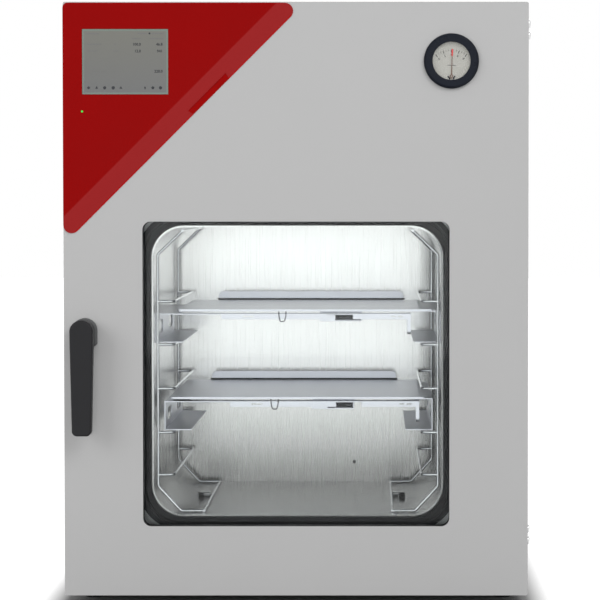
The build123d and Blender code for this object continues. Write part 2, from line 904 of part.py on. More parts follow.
def red_outline(inset=0.0):
    """Corner panel: square corner at top left, long edge cut at 45 degrees."""
    left = -door_w / 2
    top = foot_h + door_h - red_top_gap
    reach = red_w - inset
    corner = make_face(Polyline((left, top), (left + reach, top), (left, top - reach), close=True))
    points = corner.vertices()
    square = points.sort_by(Axis.X).group_by(Axis.X)[0].sort_by(Axis.Y)[-1]
    tips = [v for v in points if v != square]
    corner = fillet(tips, red_corner)
    return corner


def controller_panel():
    """Raised corner panel with a wide bevel down its sloping edge."""
    upper = red_outline(red_band * math.sqrt(2))
    body = slab(red_outline(), -0.8, 0)
    body += loft(
        [
            Plane(origin=(0, at(-0.8), 0), x_dir=(1, 0, 0), z_dir=(0, -1, 0)) * red_outline(),
            Plane(origin=(0, at(-red_t), 0), x_dir=(1, 0, 0), z_dir=(0, -1, 0)) * upper,
        ]
    )
    body -= slab(
        Pos(display_x, foot_h + display_level) * Rectangle(display_w, display_h), -red_t - 1, 1
    )
    body -= rod(led_x, foot_h + led_level, led_r, -red_t - 1, 1)
    return body


def display_unit():
    """Touch display: glass face, frame and body, through the door's sheet."""
    x = display_x
    z = foot_h + display_level
    face = block(
        x - display_w / 2, x + display_w / 2, -red_t + 0.4, 8, z - display_h / 2, z + display_h / 2
    )
    return chamfer(face.edges().group_by(Axis.Y)[0], 0.5)


def status_led():
    """Light pipe under the display."""
    z = foot_h + led_level
    pipe = rod(led_x, z, led_r, -red_t, 10)
    return fillet(pipe.edges().group_by(Axis.Y)[0], 0.8)


def controller_board():
    """Circuit board behind the display, on the door's sheet."""
    x = display_x
    z = foot_h + display_level - 6
    board = block(x - 72, x + 72, 10, 11.6, z - 72, z + 56)
    for dx in (-66, 66):
        for dz in (-66, 50):
            board += rod(x + dx, z + dz, 3.0, door_sheet, 10)
    board += block(x - 40, x - 10, 11.6, 15, z - 30, z)
    board += block(x + 10, x + 44, 11.6, 20, z - 60, z - 44)
    return board


def gauge_case():
    """Deep-drawn gauge body with its flange and bezel."""
    points = [
        (0, gauge_case_deep), (gauge_case_r, gauge_case_deep), (gauge_case_r, 0),
        (gauge_r, 0), (gauge_r, -4.5), (gauge_r - 3, -8), (dial_view_r, -8),
        (dial_view_r, -6.6), (dial_r + 1.4, -6.6), (dial_r + 1.4, -5), (dial_r + 0.2, -5),
        (dial_r + 0.2, -1.2), (dial_r - 2, -1.2), (dial_r - 2, gauge_case_deep - 2),
        (0, gauge_case_deep - 2),
    ]
    return turned(points, gauge_x, foot_h + gauge_level)


def pivot_level():
    """Height of the needle's pivot, low on the dial."""
    return foot_h + gauge_level - needle_drop


def gauge_dial():
    """Flat dial on its step, with the movement behind and the needle's arbor in front."""
    z = foot_h + gauge_level
    disc = rod(gauge_x, z, dial_r, -2.0, -1.2)
    movement = block(gauge_x - 12, gauge_x + 12, -1.2, gauge_case_deep - 2, z - 16, z + 10)
    disc += movement
    return disc + rod(gauge_x, pivot_level() + 3, 0.8, -4.2, -2.0)


def gauge_needle():
    """Pointer with a short tail, on a hub that turns on the arbor."""
    z = pivot_level() + 3
    hub = Circle(2.6)
    pointer = make_face(
        Polyline((-0.9, 0), (0.9, 0), (0.35, needle_len - 3), (-0.35, needle_len - 3), close=True)
    )
    tail = Pos(0, -2) * Rectangle(1.6, 4)
    outline = Rot(0, 0, -needle_lean) * (hub + pointer + tail)
    needle = slab(Pos(gauge_x, z) * outline, -3.4, -2.8)
    return needle - rod(gauge_x, z, 0.8 + running_gap, -5, 0)


def gauge_lens():
    """Flat glass in the bezel's seat."""
    return rod(gauge_x, foot_h + gauge_level, dial_r + 1.2, -6.6, -5)


# ---- racks --------------------------------------------------------------------------------
def rack(side):
    """Bent-wire side rack: two end frames, joined above and below, with five U-shaped rungs."""
    def end_frame(depth):
        y = at(depth)
        floor = chamber_floor + wire_r + 0.3
        points = [
            (side * rack_foot_x, y, floor),
            (side * (rack_top_x + 3), y, floor),
            (side * rack_post_x, y, foot_h + rack_post_low),
            (side * rack_post_x, y, foot_h + rack_post_high),
            (side * rack_top_x, y, foot_h + rack_top_level - 1),
        ]
        return wire(points, rack_bend, wire_r)

    frame = end_frame(rack_front_depth) + end_frame(rack_rear_depth)
    overhang = wire_r
    for x, z in (
        (rack_foot_x, chamber_floor + wire_r + 0.3),
        (rack_top_x, foot_h + rack_top_level - 1),
    ):
        frame += rod(side * x, z, wire_r, rack_front_depth - overhang, rack_rear_depth + overhang)
    for level in rack_rung_levels:
        z = foot_h + level
        points = [
            (side * rack_post_x, at(rack_front_depth), z),
            (side * rack_rung_x, at(rack_front_depth), z),
            (side * rack_rung_x, at(rack_rear_depth), z),
            (side * rack_post_x, at(rack_rear_depth), z),
        ]
        frame += wire(points, rack_bend, wire_r)
    return frame


def rack_locators():
    """Hexagonal studs on the chamber's floor that the racks' feet bear against."""
    nuts = []
    out = rack_foot_x + wire_r + 0.1 + locator_w / 2 * math.cos(math.radians(30))
    for side in (-1, 1):
        d = (rack_front_depth + rack_rear_depth) / 2
        outline = Pos(side * out, at(d)) * RegularPolygon(locator_w / 2, 6, rotation=30)
        nut = rise(outline, chamber_floor, chamber_floor + locator_h)
        nuts.append(chamfer(nut.edges().group_by(Axis.Z)[-1], 1.0))
    return nuts


# ---- expansion shelves --------------------------------------------------------------------
class Shelf:
    """One shelf in two halves: the deck with its right cheek, and the sliding left cheek."""

    def __init__(self, name, rung, deck_left, left_out):
        self.name = name
        self.flange_z = foot_h + rack_rung_levels[rung] + wire_r + 0.3
        self.deck_z = self.flange_z + shelf_lift + shelf_sheet
        self.slide_z = self.deck_z - shelf_sheet - slide_drop
        self.left = deck_left
        self.right = deck_left + shelf_w
        self.left_out = left_out
        self.right_out = self.right + cheek_overhang
        self.front = shelf_front
        self.rear = shelf_front + shelf_deep
        self.cheek_front = self.front + 2
        self.cheek_rear = self.rear - 24
        self.grip_x = self.left_out + slide_w
        # the spring bears on the slide's tab at its left end and on the tray's tab at its right
        self.slide_seat = self.left_out + spring_from_cheek
        self.tray_seat = self.left + spring_from_deck

    def deck(self):
        """Deck with hemmed front edge, back fence, a runner on the slide, and the spring tray."""
        z = self.deck_z
        top = z + shelf_deck_t
        deck = block(self.left, self.right, self.front, self.rear, z, top)
        deck = fillet(deck.edges().filter_by(Axis.Z), 4.0)
        hem = 1.2
        deck += block(self.left + 5, self.right - 5, self.front, self.front + 2, z - hem, z)
        middle = (self.left + self.right) / 2
        fence = Pos(middle, z + (fence_h + shelf_deck_t) / 2)
        fence = fence * Rectangle(fence_w, fence_h + shelf_deck_t)
        fence = fillet(fence.vertices().group_by(Axis.Y)[-1], 7.0)
        deck += slab(fence, self.rear - shelf_deck_t, self.rear)
        slot_half = fence_w / 2 - 12
        slot_d = self.rear - 7
        deck -= block(middle - slot_half, middle + slot_half, slot_d, slot_d + 3, z - 1, top + 1)
        runner_x = self.left + 1
        runner_low = self.slide_z + shelf_sheet + 0.3
        deck += block(
            runner_x, runner_x + 3, self.cheek_front + 20, self.cheek_rear - 10, runner_low, z
        )
        return deck + self.tray()

    def tray(self):
        """Channel under the deck that cradles the spring, with a window in its front wall."""
        d0 = self.cheek_front + 2.5
        d1 = self.cheek_front + 23.5
        low = self.slide_z - 9.5
        x0 = self.tray_seat - 58
        x1 = self.tray_seat + shelf_sheet
        floor = block(x0, x1, d0, d1, low, low + shelf_sheet)
        rear_wall = block(x0, x1, d1 - shelf_sheet, d1, low, self.deck_z)
        front_wall = block(
            x0, self.tray_seat - spring_window, d0, d0 + shelf_sheet, low, self.slide_z - 0.5
        )
        seat = block(self.tray_seat, x1, d0, d1, low, self.slide_z - 0.5)
        return floor + rear_wall + front_wall + seat

    def cheek(self, outer, inward, lip_z):
        """A C-section: upright by the chamber's wall, foot flange and top lip."""
        z0 = self.flange_z
        d0 = self.cheek_front
        d1 = self.cheek_rear
        web = block(outer, outer + inward * shelf_sheet, d0, d1, z0, lip_z + shelf_sheet)
        foot = block(outer, outer + inward * shelf_flange, d0, d1, z0, z0 + shelf_sheet)
        lip = block(outer, outer + inward * cheek_lip, d0, d1, lip_z, lip_z + shelf_sheet)
        body = web + foot + lip
        hole_z = (z0 + lip_z) / 2
        for d in (d0 + 60, d1 - 60):
            body -= across(Pos(at(d), hole_z) * SlotOverall(60, 18), outer - 5, outer + 5)
        return body

    def fixed_cheek(self):
        """Right cheek, with its lip under the deck."""
        return self.cheek(self.right_out, -1, self.deck_z - shelf_sheet)

    def slide(self):
        """Left cheek, with the slide strip that runs from it under the deck to the grip."""
        z = self.slide_z
        top = z + shelf_sheet
        d0 = self.cheek_front
        body = self.cheek(self.left_out, 1, z)
        body += block(self.left_out + cheek_lip - 4, self.grip_x, d0, d0 + 20, z, top)
        apron = block(self.left_out + 92, self.grip_x - 2, d0, d0 + shelf_sheet, z - apron_h, top)
        apron -= block(
            self.slide_seat, self.slide_seat + spring_window, d0 - 1, d0 + 3, z - apron_h - 1, z
        )
        body += apron
        body += block(self.slide_seat - shelf_sheet, self.slide_seat, d0 + 4.5, d0 + 13, z - 7.5, z)
        for slot_x in slide_slots:
            body -= block(
                self.left_out + slot_x, self.left_out + slot_x + 7, d0 - 1, d0 + 2, z - 3.5, z - 1.5
            )
        grip = block(self.grip_x - 5, self.grip_x, d0, d0 + 30, z - grip_drop, top)
        grip = fillet(grip.edges().filter_by(Axis.X).group_by(Axis.Z)[0], 5.0)
        return body + grip

    def spring(self):
        """The space that the spring's coils fill, between the two tabs."""
        z = self.slide_z - 4.2
        return pin_across(self.cheek_front + 8.5, z, 3.0, self.slide_seat, self.tray_seat)

    def anchor(self):
        """Wire pull ring hung from two holes in the deck's front edge."""
        x = self.left + 148
        y = at(self.front + 0.9)
        z = self.deck_z - 1.2
        low = z - 14
        legs = [
            (x - 5, y, z), (x - 5, y, z - 6), (x - 3, y, low),
            (x + 3, y, low), (x + 5, y, z - 6), (x + 5, y, z),
        ]
        return wire(legs, 1.8, 0.8)


# ---- build --------------------------------------------------------------------------------
def main():
    """Build every piece and write it."""
    os.makedirs("parts", exist_ok=True)
    save("outer_casing", outer_casing())
    save("rear_panel", rear_panel())
    save("casing_screws", *casing_screws())
    save("base_tray", base_tray())
    save("feet", *feet())
    save("front_frame", front_frame())
    save("hinge_brackets", *hinge_brackets())
    save("hinge_pins", *hinge_pins())
    save("flange_screws", *flange_screws())
    save("latch_keeper", latch_keeper())
    save("chamber", chamber())
    save("chamber_gasket", chamber_gasket())
    save("heater_mats", *heater_mats())
    save("wall_sensor", wall_sensor())
    save("insulation", insulation())
    save("vacuum_port", vacuum_port())
    save("vacuum_valve", vacuum_valve())
    save("gas_port", gas_port())
    save("mains_inlet", mains_inlet())
    save("main_switch", main_switch())
    save("interface_socket", interface_socket())
    save("electronics_tray", electronics_tray())
    save("power_board", power_board())
    save("power_supply", power_supply())
    save("pressure_sensor", pressure_sensor())
    save("door_panel", door_panel())
    save("door_back_cover", door_back_cover())
    save("hinge_blocks", *hinge_blocks())
    save("hinge_screws", *hinge_screws())
    save("shatter_guard", shatter_guard())
    save("glass_pane", glass_pane())
    save("glass_frame", glass_frame())
    save("glass_springs", *glass_springs())
    save("handle_lever", handle_lever())
    save("handle_base", handle_base())
    save("handle_spindle", handle_spindle())
    save("latch_cam", latch_cam())
    save("controller_panel", controller_panel())
    save("display_unit", display_unit())
    save("status_led", status_led())
    save("controller_board", controller_board())
    save("gauge_case", gauge_case())
    save("gauge_dial", gauge_dial())
    save("gauge_needle", gauge_needle())
    save("gauge_lens", gauge_lens())
    save("rack_left", rack(-1))
    save("rack_right", rack(1))
    save("rack_locators", *rack_locators())
    upper = Shelf("upper_shelf", upper_rung, -170.0, -chamber_in / 2 + 0.1)
    lower = Shelf("lower_shelf", lower_rung, -181.0, -187.8)
    for shelf in (upper, lower):
        save(f"{shelf.name}_deck", shelf.deck())
        save(f"{shelf.name}_fixed_cheek", shelf.fixed_cheek())
        save(f"{shelf.name}_slide", shelf.slide())
        save(f"{shelf.name}_spring", shelf.spring())
        save(f"{shelf.name}_anchor", shelf.anchor())


main()
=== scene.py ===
import bpy
import bmesh
import json
import math
from mathutils import Matrix, Vector


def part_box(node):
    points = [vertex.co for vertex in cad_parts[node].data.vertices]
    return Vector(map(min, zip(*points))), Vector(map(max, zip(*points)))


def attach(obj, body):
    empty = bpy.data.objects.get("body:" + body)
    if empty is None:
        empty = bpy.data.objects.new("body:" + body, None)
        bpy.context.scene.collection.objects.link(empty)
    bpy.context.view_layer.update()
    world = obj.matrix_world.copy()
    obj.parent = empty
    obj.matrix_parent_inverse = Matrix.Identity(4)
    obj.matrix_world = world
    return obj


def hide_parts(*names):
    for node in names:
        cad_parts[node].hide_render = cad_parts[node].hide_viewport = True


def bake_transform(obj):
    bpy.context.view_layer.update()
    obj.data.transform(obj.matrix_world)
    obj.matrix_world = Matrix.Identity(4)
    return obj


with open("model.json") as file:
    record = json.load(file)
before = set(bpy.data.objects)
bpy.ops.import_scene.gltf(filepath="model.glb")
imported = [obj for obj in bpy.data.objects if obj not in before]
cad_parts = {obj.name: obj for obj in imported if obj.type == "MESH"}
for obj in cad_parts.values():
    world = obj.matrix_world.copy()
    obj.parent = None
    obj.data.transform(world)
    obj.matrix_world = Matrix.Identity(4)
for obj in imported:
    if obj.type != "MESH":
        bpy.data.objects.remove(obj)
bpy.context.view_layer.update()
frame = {"nodes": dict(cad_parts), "record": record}
bodyOf = {n: b for b, names in frame["record"]["behaviour"]["bodies"].items() for n in names}
mm = 0.001
print("frame loaded:", len(frame["nodes"]), "nodes")


# shader building: a socket with arithmetic, and a sheet of nodes

class Wire:
    def __init__(self, sheet, out):
        self.sheet = sheet
        self.out = out

    def maths(self, operation, first, second):
        return self.sheet.node("Math", {"operation": operation}, {0: first, 1: second})

    def __add__(self, other):
        return self.maths("ADD", self, other)

    def __sub__(self, other):
        return self.maths("SUBTRACT", self, other)

    def __rsub__(self, other):
        return self.maths("SUBTRACT", other, self)

    def __mul__(self, other):
        return self.maths("MULTIPLY", self, other)

    def __truediv__(self, other):
        return self.maths("DIVIDE", self, other)

    __radd__ = __add__
    __rmul__ = __mul__

    def size(self):
        return self.maths("ABSOLUTE", self, 0.0)

    def least(self, other):
        return self.maths("MINIMUM", self, other)

    def most(self, other):
        return self.maths("MAXIMUM", self, other)


class Sheet:
    def __init__(self, owner):
        self.owner = owner
        owner.use_nodes = True
        self.tree = owner.node_tree
        self.tree.nodes.clear()

    def node(self, kind, settings=None, sockets=None, out=0):
        made = self.tree.nodes.new("ShaderNode" + kind)
        for key, value in (settings or {}).items():
            setattr(made, key, value)
        for key, value in (sockets or {}).items():
            if isinstance(value, Wire):
                self.tree.links.new(value.out, made.inputs[key])
            elif value is not None:
                made.inputs[key].default_value = value
        return Wire(self, made.outputs[out] if len(made.outputs) else None)

    def coords(self):
        return self.node("TexCoord", out=3)

    def axes(self):
        split = self.node("SeparateXYZ", None, {0: self.coords()})
        return [Wire(self, socket) for socket in split.out.node.outputs]

    def stretched(self, scale):       # object coordinates, scaled by axis
        return self.node("Mapping", None, {0: self.coords(), "Scale": scale})

    def noise(self, scale, detail=3.0, rough=0.5, where=None):
        sockets = {0: where or self.coords(), "Scale": scale, "Detail": detail, "Roughness": rough}
        return self.node("TexNoise", None, sockets)

    def between(self, value, low, high, newLow=0.0, newHigh=1.0):
        return self.node("MapRange", None, {0: value, 1: low, 2: high, 3: newLow, 4: newHigh})

    def blend(self, share, first, second):
        return self.node("Mix", {"data_type": "RGBA"}, {0: share, 6: first, 7: second}, out=2)

    def relief(self, height, strength, distance, under=None):
        sockets = {"Height": height, "Strength": strength, "Distance": distance, "Normal": under}
        return self.node("Bump", None, sockets)

    def surface(self, **values):
        sockets = {key.replace("_", " "): value for key, value in values.items()}
        shader = self.node("BsdfPrincipled", None, sockets)
        return self.done(shader)

    def done(self, shader):
        self.node("OutputMaterial", None, {0: shader})
        return self.owner


def newSheet(name):
    return Sheet(bpy.data.materials.new(name))


def tint(red, green, blue):           # a screen colour, 0 to 255, as linear light
    def linear(part):
        part = part / 255
        return part / 12.92 if part <= 0.04045 else ((part + 0.055) / 1.055) ** 2.4
    return (linear(red), linear(green), linear(blue), 1.0)


def shade(colour, share):
    return tuple(part * share for part in colour[:3]) + (1.0,)


# finishes

def powderPaint(name, colour, gloss=0.42):
    sheet = newSheet(name)
    cloudy = sheet.noise(9.0, 4.0)
    grain = sheet.noise(520.0, 2.0)
    base = sheet.blend(cloudy, shade(colour, 0.972), shade(colour, 1.02))
    peel = sheet.relief(grain, 0.10, 0.0002)
    rough = sheet.between(cloudy, 0.3, 0.7, gloss - 0.04, gloss + 0.05)
    return sheet.surface(Base_Color=base, Roughness=rough, Normal=peel)


def cornerLacquer(name, look, left, top):
    sheet = newSheet(name)
    reach = look["reach"]
    x, y, z = sheet.axes()
    inward = (x - left) + (top - z)                     # grows towards the sloping edge
    # painted light masks: a reflection across the sloping band and a highlight along the edge
    sheenBand = sheet.between(inward, reach - look["band"] - look["soften"], reach - look["band"])
    edgeHighlight = sheet.between(inward, reach - look["line"], reach - look["line"] * 0.6)
    fine = sheet.noise(1400.0, 2.0)
    cloudy = sheet.noise(14.0, 3.0)
    face = sheet.blend(cloudy, shade(look["face"], 0.95), shade(look["face"], 1.05))
    # painted reflection on the sloping band, then a painted highlight on the edge line
    base = sheet.blend(sheenBand, face, look["slope"])
    base = sheet.blend(edgeHighlight, base, look["edge"])
    rough = sheet.between(cloudy, 0.3, 0.7, 0.30, 0.38)
    relief = sheet.relief(fine, 0.05, 0.0001)
    return sheet.surface(
        Base_Color=base, Roughness=rough, Normal=relief, Specular_IOR_Level=look["shine"]
    )


def mouldedPlastic(name, colour, rough=0.5, grainSize=1800.0, depth=0.18, shine=0.25):
    sheet = newSheet(name)
    spark = sheet.noise(grainSize, 3.0, 0.6)
    cloudy = sheet.noise(40.0, 3.0)
    base = sheet.blend(cloudy, shade(colour, 0.86), shade(colour, 1.16))
    uneven = sheet.between(cloudy, 0.3, 0.7, rough - 0.05, rough + 0.07)
    relief = sheet.relief(spark, depth, 0.0002)
    return sheet.surface(
        Base_Color=base, Roughness=uneven, Normal=relief, Specular_IOR_Level=shine
    )


def rolledSteel(name, colour, rough, along, streak=0.06, depth=0.02):
    sheet = newSheet(name)
    scale = [900.0, 900.0, 900.0]     # a fine grain, drawn out along one axis
    scale[along] = 9.0
    grain = sheet.noise(1.0, 4.0, 0.65, sheet.stretched(scale))
    cloudy = sheet.noise(6.0, 3.0)
    base = sheet.blend(cloudy, shade(colour, 0.94), shade(colour, 1.04))
    uneven = sheet.between(grain, 0.25, 0.75, rough - streak / 2, rough + streak / 2)
    relief = sheet.relief(grain, depth, 0.0001)
    return sheet.surface(Base_Color=base, Metallic=1.0, Roughness=uneven, Normal=relief)


def chamberSteel(name, look):         # brushed upright, with painted shade: darker towards the floor and on the right-hand wall
    sheet = newSheet(name)
    x, y, z = sheet.axes()
    grain = sheet.noise(1.0, 4.0, 0.65, sheet.stretched(look["grain"]))
    # painted shade masks: the first darkens towards the floor, the second the right-hand wall
    low = sheet.between(z, look["lowTo"], look["lowFrom"])
    side = sheet.between(x, look["sideFrom"], look["sideTo"])
    base = sheet.blend(low, look["bright"], look["dull"])
    base = sheet.blend(side, base, look["side"])
    uneven = sheet.between(grain, 0.25, 0.75, look["smooth"], look["coarse"])
    relief = sheet.relief(grain, look["depth"], 0.0001)
    return sheet.surface(Base_Color=base, Metallic=1.0, Roughness=uneven, Normal=relief)


def platedSteel(name, colour, rough):                       # dull zinc, with its faint spangle
    sheet = newSheet(name)
    cells = sheet.node("TexVoronoi", None, {0: sheet.coords(), "Scale": 130.0}, out=1)
    flakes = sheet.node("RGBToBW", None, {0: cells})
    soft = sheet.noise(25.0, 4.0)
    base = sheet.blend(0.12, sheet.blend(soft, shade(colour, 0.88), shade(colour, 1.08)), flakes)
    uneven = sheet.between(soft, 0.3, 0.7, rough - 0.08, rough + 0.1)
    return sheet.surface(Base_Color=base, Metallic=0.85, Roughness=uneven)


def drawnWire(name, colour, rough):
    sheet = newSheet(name)
    haze = sheet.noise(300.0, 3.0)
    base = sheet.blend(haze, shade(colour, 0.9), colour)
    uneven = sheet.between(haze, 0.3, 0.7, rough - 0.04, rough + 0.06)
    return sheet.surface(Base_Color=base, Metallic=1.0, Roughness=uneven)


def softRubber(name, colour, rough=0.75, shine=0.2):
    sheet = newSheet(name)
    dust = sheet.noise(160.0, 5.0, 0.65)
    base = sheet.blend(sheet.between(dust, 0.45, 0.75), colour, shade(colour, 2.0))
    relief = sheet.relief(dust, 0.12, 0.0003)
    return sheet.surface(
        Base_Color=base, Roughness=rough, Normal=relief, Specular_IOR_Level=shine
    )


def clearPane(name, colour, shine):   # a pane that lets the light straight through
    sheet = newSheet(name)
    smear = sheet.noise(7.0, 4.0)
    rough = sheet.between(smear, 0.4, 0.7, 0.01, 0.05)
    mirror = sheet.node("BsdfGlossy", None, {"Color": (1.0, 1.0, 1.0, 1.0), "Roughness": rough})
    through = sheet.node("BsdfTransparent", None, {"Color": colour})
    fresnel = sheet.node("Fresnel", None, {"IOR": 1.45})
    factor = fresnel * shine
    return sheet.done(sheet.node("MixShader", None, {0: factor, 1: through, 2: mirror}))


def circuitBoard(name):
    sheet = newSheet(name)
    sockets = {0: sheet.coords(), "Scale": 90.0, "Mortar Size": 0.03}
    tracks = sheet.node("TexBrick", None, sockets, out=1)
    patch = sheet.noise(60.0, 2.0)
    base = sheet.blend(tracks, tint(24, 96, 58), tint(44, 130, 78))
    rough = sheet.between(patch, 0.3, 0.7, 0.35, 0.5)
    return sheet.surface(Base_Color=base, Roughness=rough, Normal=sheet.relief(tracks, 0.2, 0.0003))


def mineralWool(name):
    sheet = newSheet(name)
    fibre = sheet.noise(220.0, 6.0, 0.75)
    base = sheet.blend(fibre, tint(176, 160, 116), tint(226, 214, 178))
    return sheet.surface(Base_Color=base, Roughness=0.95, Normal=sheet.relief(fibre, 0.6, 0.002))


def displayFace(name, look, low, high):
    sheet = newSheet(name)
    x, y, z = sheet.axes()
    inFromSide = (high.x - low.x) / 2 - (x - (low.x + high.x) / 2).size()
    inFromTop = (high.z - low.z) / 2 - (z - (low.z + high.z) / 2).size()
    rim = sheet.between(inFromSide.least(inFromTop), look["rimWide"], look["rimWide"] * 0.4)
    pixels = sheet.noise(900.0, 2.0)
    # painted light: the screen is lighter at the top and darker towards the bottom
    paintedTopLight = sheet.blend(sheet.between(z, low.z, high.z), look["foot"], look["head"])
    base = sheet.blend(rim * 0.8, paintedTopLight, look["rim"])
    rough = sheet.between(pixels, 0.3, 0.7, 0.16, 0.24)
    return sheet.surface(Base_Color=base, Roughness=rough, Specular_IOR_Level=look["shine"])


def dialFace(name, colour):
    sheet = newSheet(name)
    brushed = sheet.noise(1.0, 3.0, 0.6, sheet.stretched((2600.0, 40.0, 300.0)))
    cloudy = sheet.noise(90.0, 2.0)
    base = sheet.blend(cloudy, shade(colour, 0.93), shade(colour, 1.05))
    rough = sheet.between(brushed, 0.3, 0.7, 0.32, 0.5)
    return sheet.surface(Base_Color=base, Metallic=0.25, Roughness=rough)


def printInk(name, colour, rough=0.5):
    sheet = newSheet(name)
    worn = sheet.noise(700.0, 3.0)
    base = sheet.blend(worn, shade(colour, 0.85), shade(colour, 1.15))
    return sheet.surface(Base_Color=base, Roughness=rough)


def glowLamp(name, colour, strength):
    sheet = newSheet(name)
    haze = sheet.noise(900.0, 2.0)
    base = sheet.blend(haze, shade(colour, 0.8), colour)
    return sheet.surface(
        Base_Color=base, Roughness=0.25, Emission_Color=base, Emission_Strength=strength
    )


panelLook = {
    "reach": 329.3 * mm, "band": 36.8 * mm, "soften": 2.5 * mm, "line": 2.6 * mm, "shine": 0.03,
    # the slope and edge colours are painted light: the floor's reflection on the sloping band and a
    # highlight on its edge
    "face": tint(153, 9, 9), "slope": tint(163, 40, 41), "edge": tint(182, 14, 18),
    "slot": tint(158, 8, 7),
}
displayLook = {
    "rimWide": 3.4 * mm, "shine": 0.2,
    # head and foot are painted light: lighter at the top, darker at the bottom
    "head": tint(128, 128, 121), "foot": tint(119, 120, 120), "rim": tint(132, 150, 140),
}
chamberLook = {
    "grain": (1300.0, 1300.0, 8.0), "smooth": 0.20, "coarse": 0.31, "depth": 0.009,
    # the two darker colours are painted shade, towards the floor and on the right-hand wall
    "bright": tint(240, 239, 238), "dull": tint(166, 165, 164), "side": tint(140, 140, 140),
    "lowFrom": 0.12, "lowTo": 0.30, "sideFrom": 0.175, "sideTo": 0.198,
}
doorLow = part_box("door_panel")[0]
panelLow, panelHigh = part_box("controller_panel")
displayLow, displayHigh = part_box("display_unit")
gaugeLow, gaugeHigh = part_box("gauge_case")

finishes = {
    "cabinet_paint": powderPaint("cabinetPaint", tint(184, 185, 185), 0.45),
    "door_paint": powderPaint("doorPaint", tint(192, 192, 192)),
    "zinc_sheet": platedSteel("zincSheet", tint(178, 180, 182), 0.45),
    "zinc_steel": platedSteel("zincSteel", tint(186, 186, 184), 0.35),
    "bright_steel": rolledSteel("brightSteel", tint(206, 206, 206), 0.22, 1),
    "bright_wire": drawnWire("brightWire", tint(206, 207, 210), 0.12),
    "foot_rubber": softRubber("footRubber", tint(26, 26, 27)),
    "flange_steel": rolledSteel("flangeSteel", tint(226, 227, 228), 0.36, 0),
    "stainless": chamberSteel("chamberSteel", chamberLook),
    "seal_silicone": softRubber("sealSilicone", tint(34, 34, 36), 0.6),
    "mat_silicone": softRubber("matSilicone", tint(146, 84, 52)),
    "mineral_wool": mineralWool("mineralWool"),
    "valve_body": mouldedPlastic("valveBody", tint(40, 41, 43)),
    "black_plastic": mouldedPlastic("blackPlastic", tint(30, 30, 31)),
    "board_green": circuitBoard("circuitBoard"),
    "aluminium": rolledSteel("plainAluminium", tint(198, 198, 200), 0.35, 0),
    "clear_plastic": clearPane("clearGuard", (0.97, 0.98, 0.98, 1.0), 0.16),
    "clear_glass": clearPane("clearGlass", (0.982, 0.986, 0.984, 1.0), 0.16),
    "handle_plastic": mouldedPlastic("handlePlastic", tint(38, 38, 40), 0.42, shine=0.16),
    "base_plastic": mouldedPlastic("basePlastic", tint(91, 92, 93), 0.5),
    "red_panel": cornerLacquer("cornerLacquer", panelLook, panelLow.x, panelHigh.z),
    "display_face": displayFace("displayFace", displayLook, displayLow, displayHigh),
    "led_green": glowLamp("lampGreen", tint(40, 210, 70), 0.7),
    "bezel_black": mouldedPlastic("bezelBlack", tint(14, 20, 32), 0.3, 900.0, 0.05, 0.14),
    "dial_silver": dialFace("dialSilver", tint(183, 181, 175)),
    "needle_black": printInk("needleBlack", tint(128, 104, 92)),
    "shelf_aluminium": rolledSteel("shelfAluminium", tint(214, 215, 222), 0.30, 0),
    "spring_steel": drawnWire("springSteel", tint(120, 120, 124), 0.3),
}
inks = {
    "dark": printInk("inkDark", tint(28, 30, 36)),
    "grey": printInk("inkGrey", tint(92, 92, 92)),
    "faint": printInk("inkFaint", tint(112, 112, 110)),
    "red": printInk("pointerRed", tint(236, 62, 62), 0.4),
    "slot": mouldedPlastic("slotRed", panelLook["slot"], 0.4, shine=0.03),
}
slotOf = {part["node"]: part["material_slot"] for part in frame["record"]["subparts"]}
print("finishes made:", len(finishes))


# mesh helpers

def camel(node):
    first, *rest = node.split("_")
    return first + "".join(word.capitalize() for word in rest)


def asPiece(shape, name, slot, body, finish=None, sharp=35.0):
    mesh = bpy.data.meshes.new(name)
    shape.to_mesh(mesh)
    shape.free()
    spare = mesh.attributes.get("custom_normal")
    if spare:
        mesh.attributes.remove(spare)
    mesh.shade_smooth()
    mesh.set_sharp_from_angle(angle=math.radians(sharp))
    mesh.materials.clear()
    mesh.materials.append(finish or finishes[slot])
    piece = bpy.data.objects.new(name, mesh)
    bpy.context.scene.collection.objects.link(piece)
    even = piece.modifiers.new("evenShading", "WEIGHTED_NORMAL")
    even.keep_sharp = True
    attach(piece, body)
    return piece


def mergedNode(node):                 # a copy of a node's triangles, joined up and flattened
    shape = bmesh.new()
    shape.from_mesh(frame["nodes"][node].data)
    bmesh.ops.remove_doubles(shape, verts=shape.verts, dist=0.002 * mm)
    flat = math.radians(0.4)
    bmesh.ops.dissolve_limit(shape, angle_limit=flat, verts=shape.verts, edges=shape.edges)
    return shape


def roundRims(shape, width, segments=2, crease=30.0, keep=None):
    rims = [
        e for e in shape.edges
        if len(e.link_faces) == 2 and e.calc_face_angle(0.0) > math.radians(crease)
        and (keep is None or keep(e))
    ]
    bmesh.ops.bevel(
        shape, geom=rims, offset=width, offset_type="OFFSET", segments=segments, profile=0.5,
        affect="EDGES", clamp_overlap=True, material=-1,
    )


def finishedNode(node, width, segments=2):
    shape = mergedNode(node)
    if width:
        roundRims(shape, width * mm, segments)
    piece = asPiece(shape, camel(node), slotOf[node], bodyOf[node])
    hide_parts(node)
    return piece


def addTo(shape, part):               # joins one shape to another
    mesh = bpy.data.meshes.new("part")
    part.to_mesh(mesh)
    part.free()
    shape.from_mesh(mesh)
    bpy.data.meshes.remove(mesh)


def block(shape, low, high):          # a box between two corners, added to a shape
    low, high = Vector(low), Vector(high)
    place = Matrix.Translation((low + high) / 2) @ Matrix.Diagonal((*(high - low), 1.0))
    return bmesh.ops.create_cube(shape, size=1.0, matrix=place)["verts"]


letterLook = {"perHeight": 1.38, "deep": 0.12 * mm, "bold": 0.025, "steps": 3}


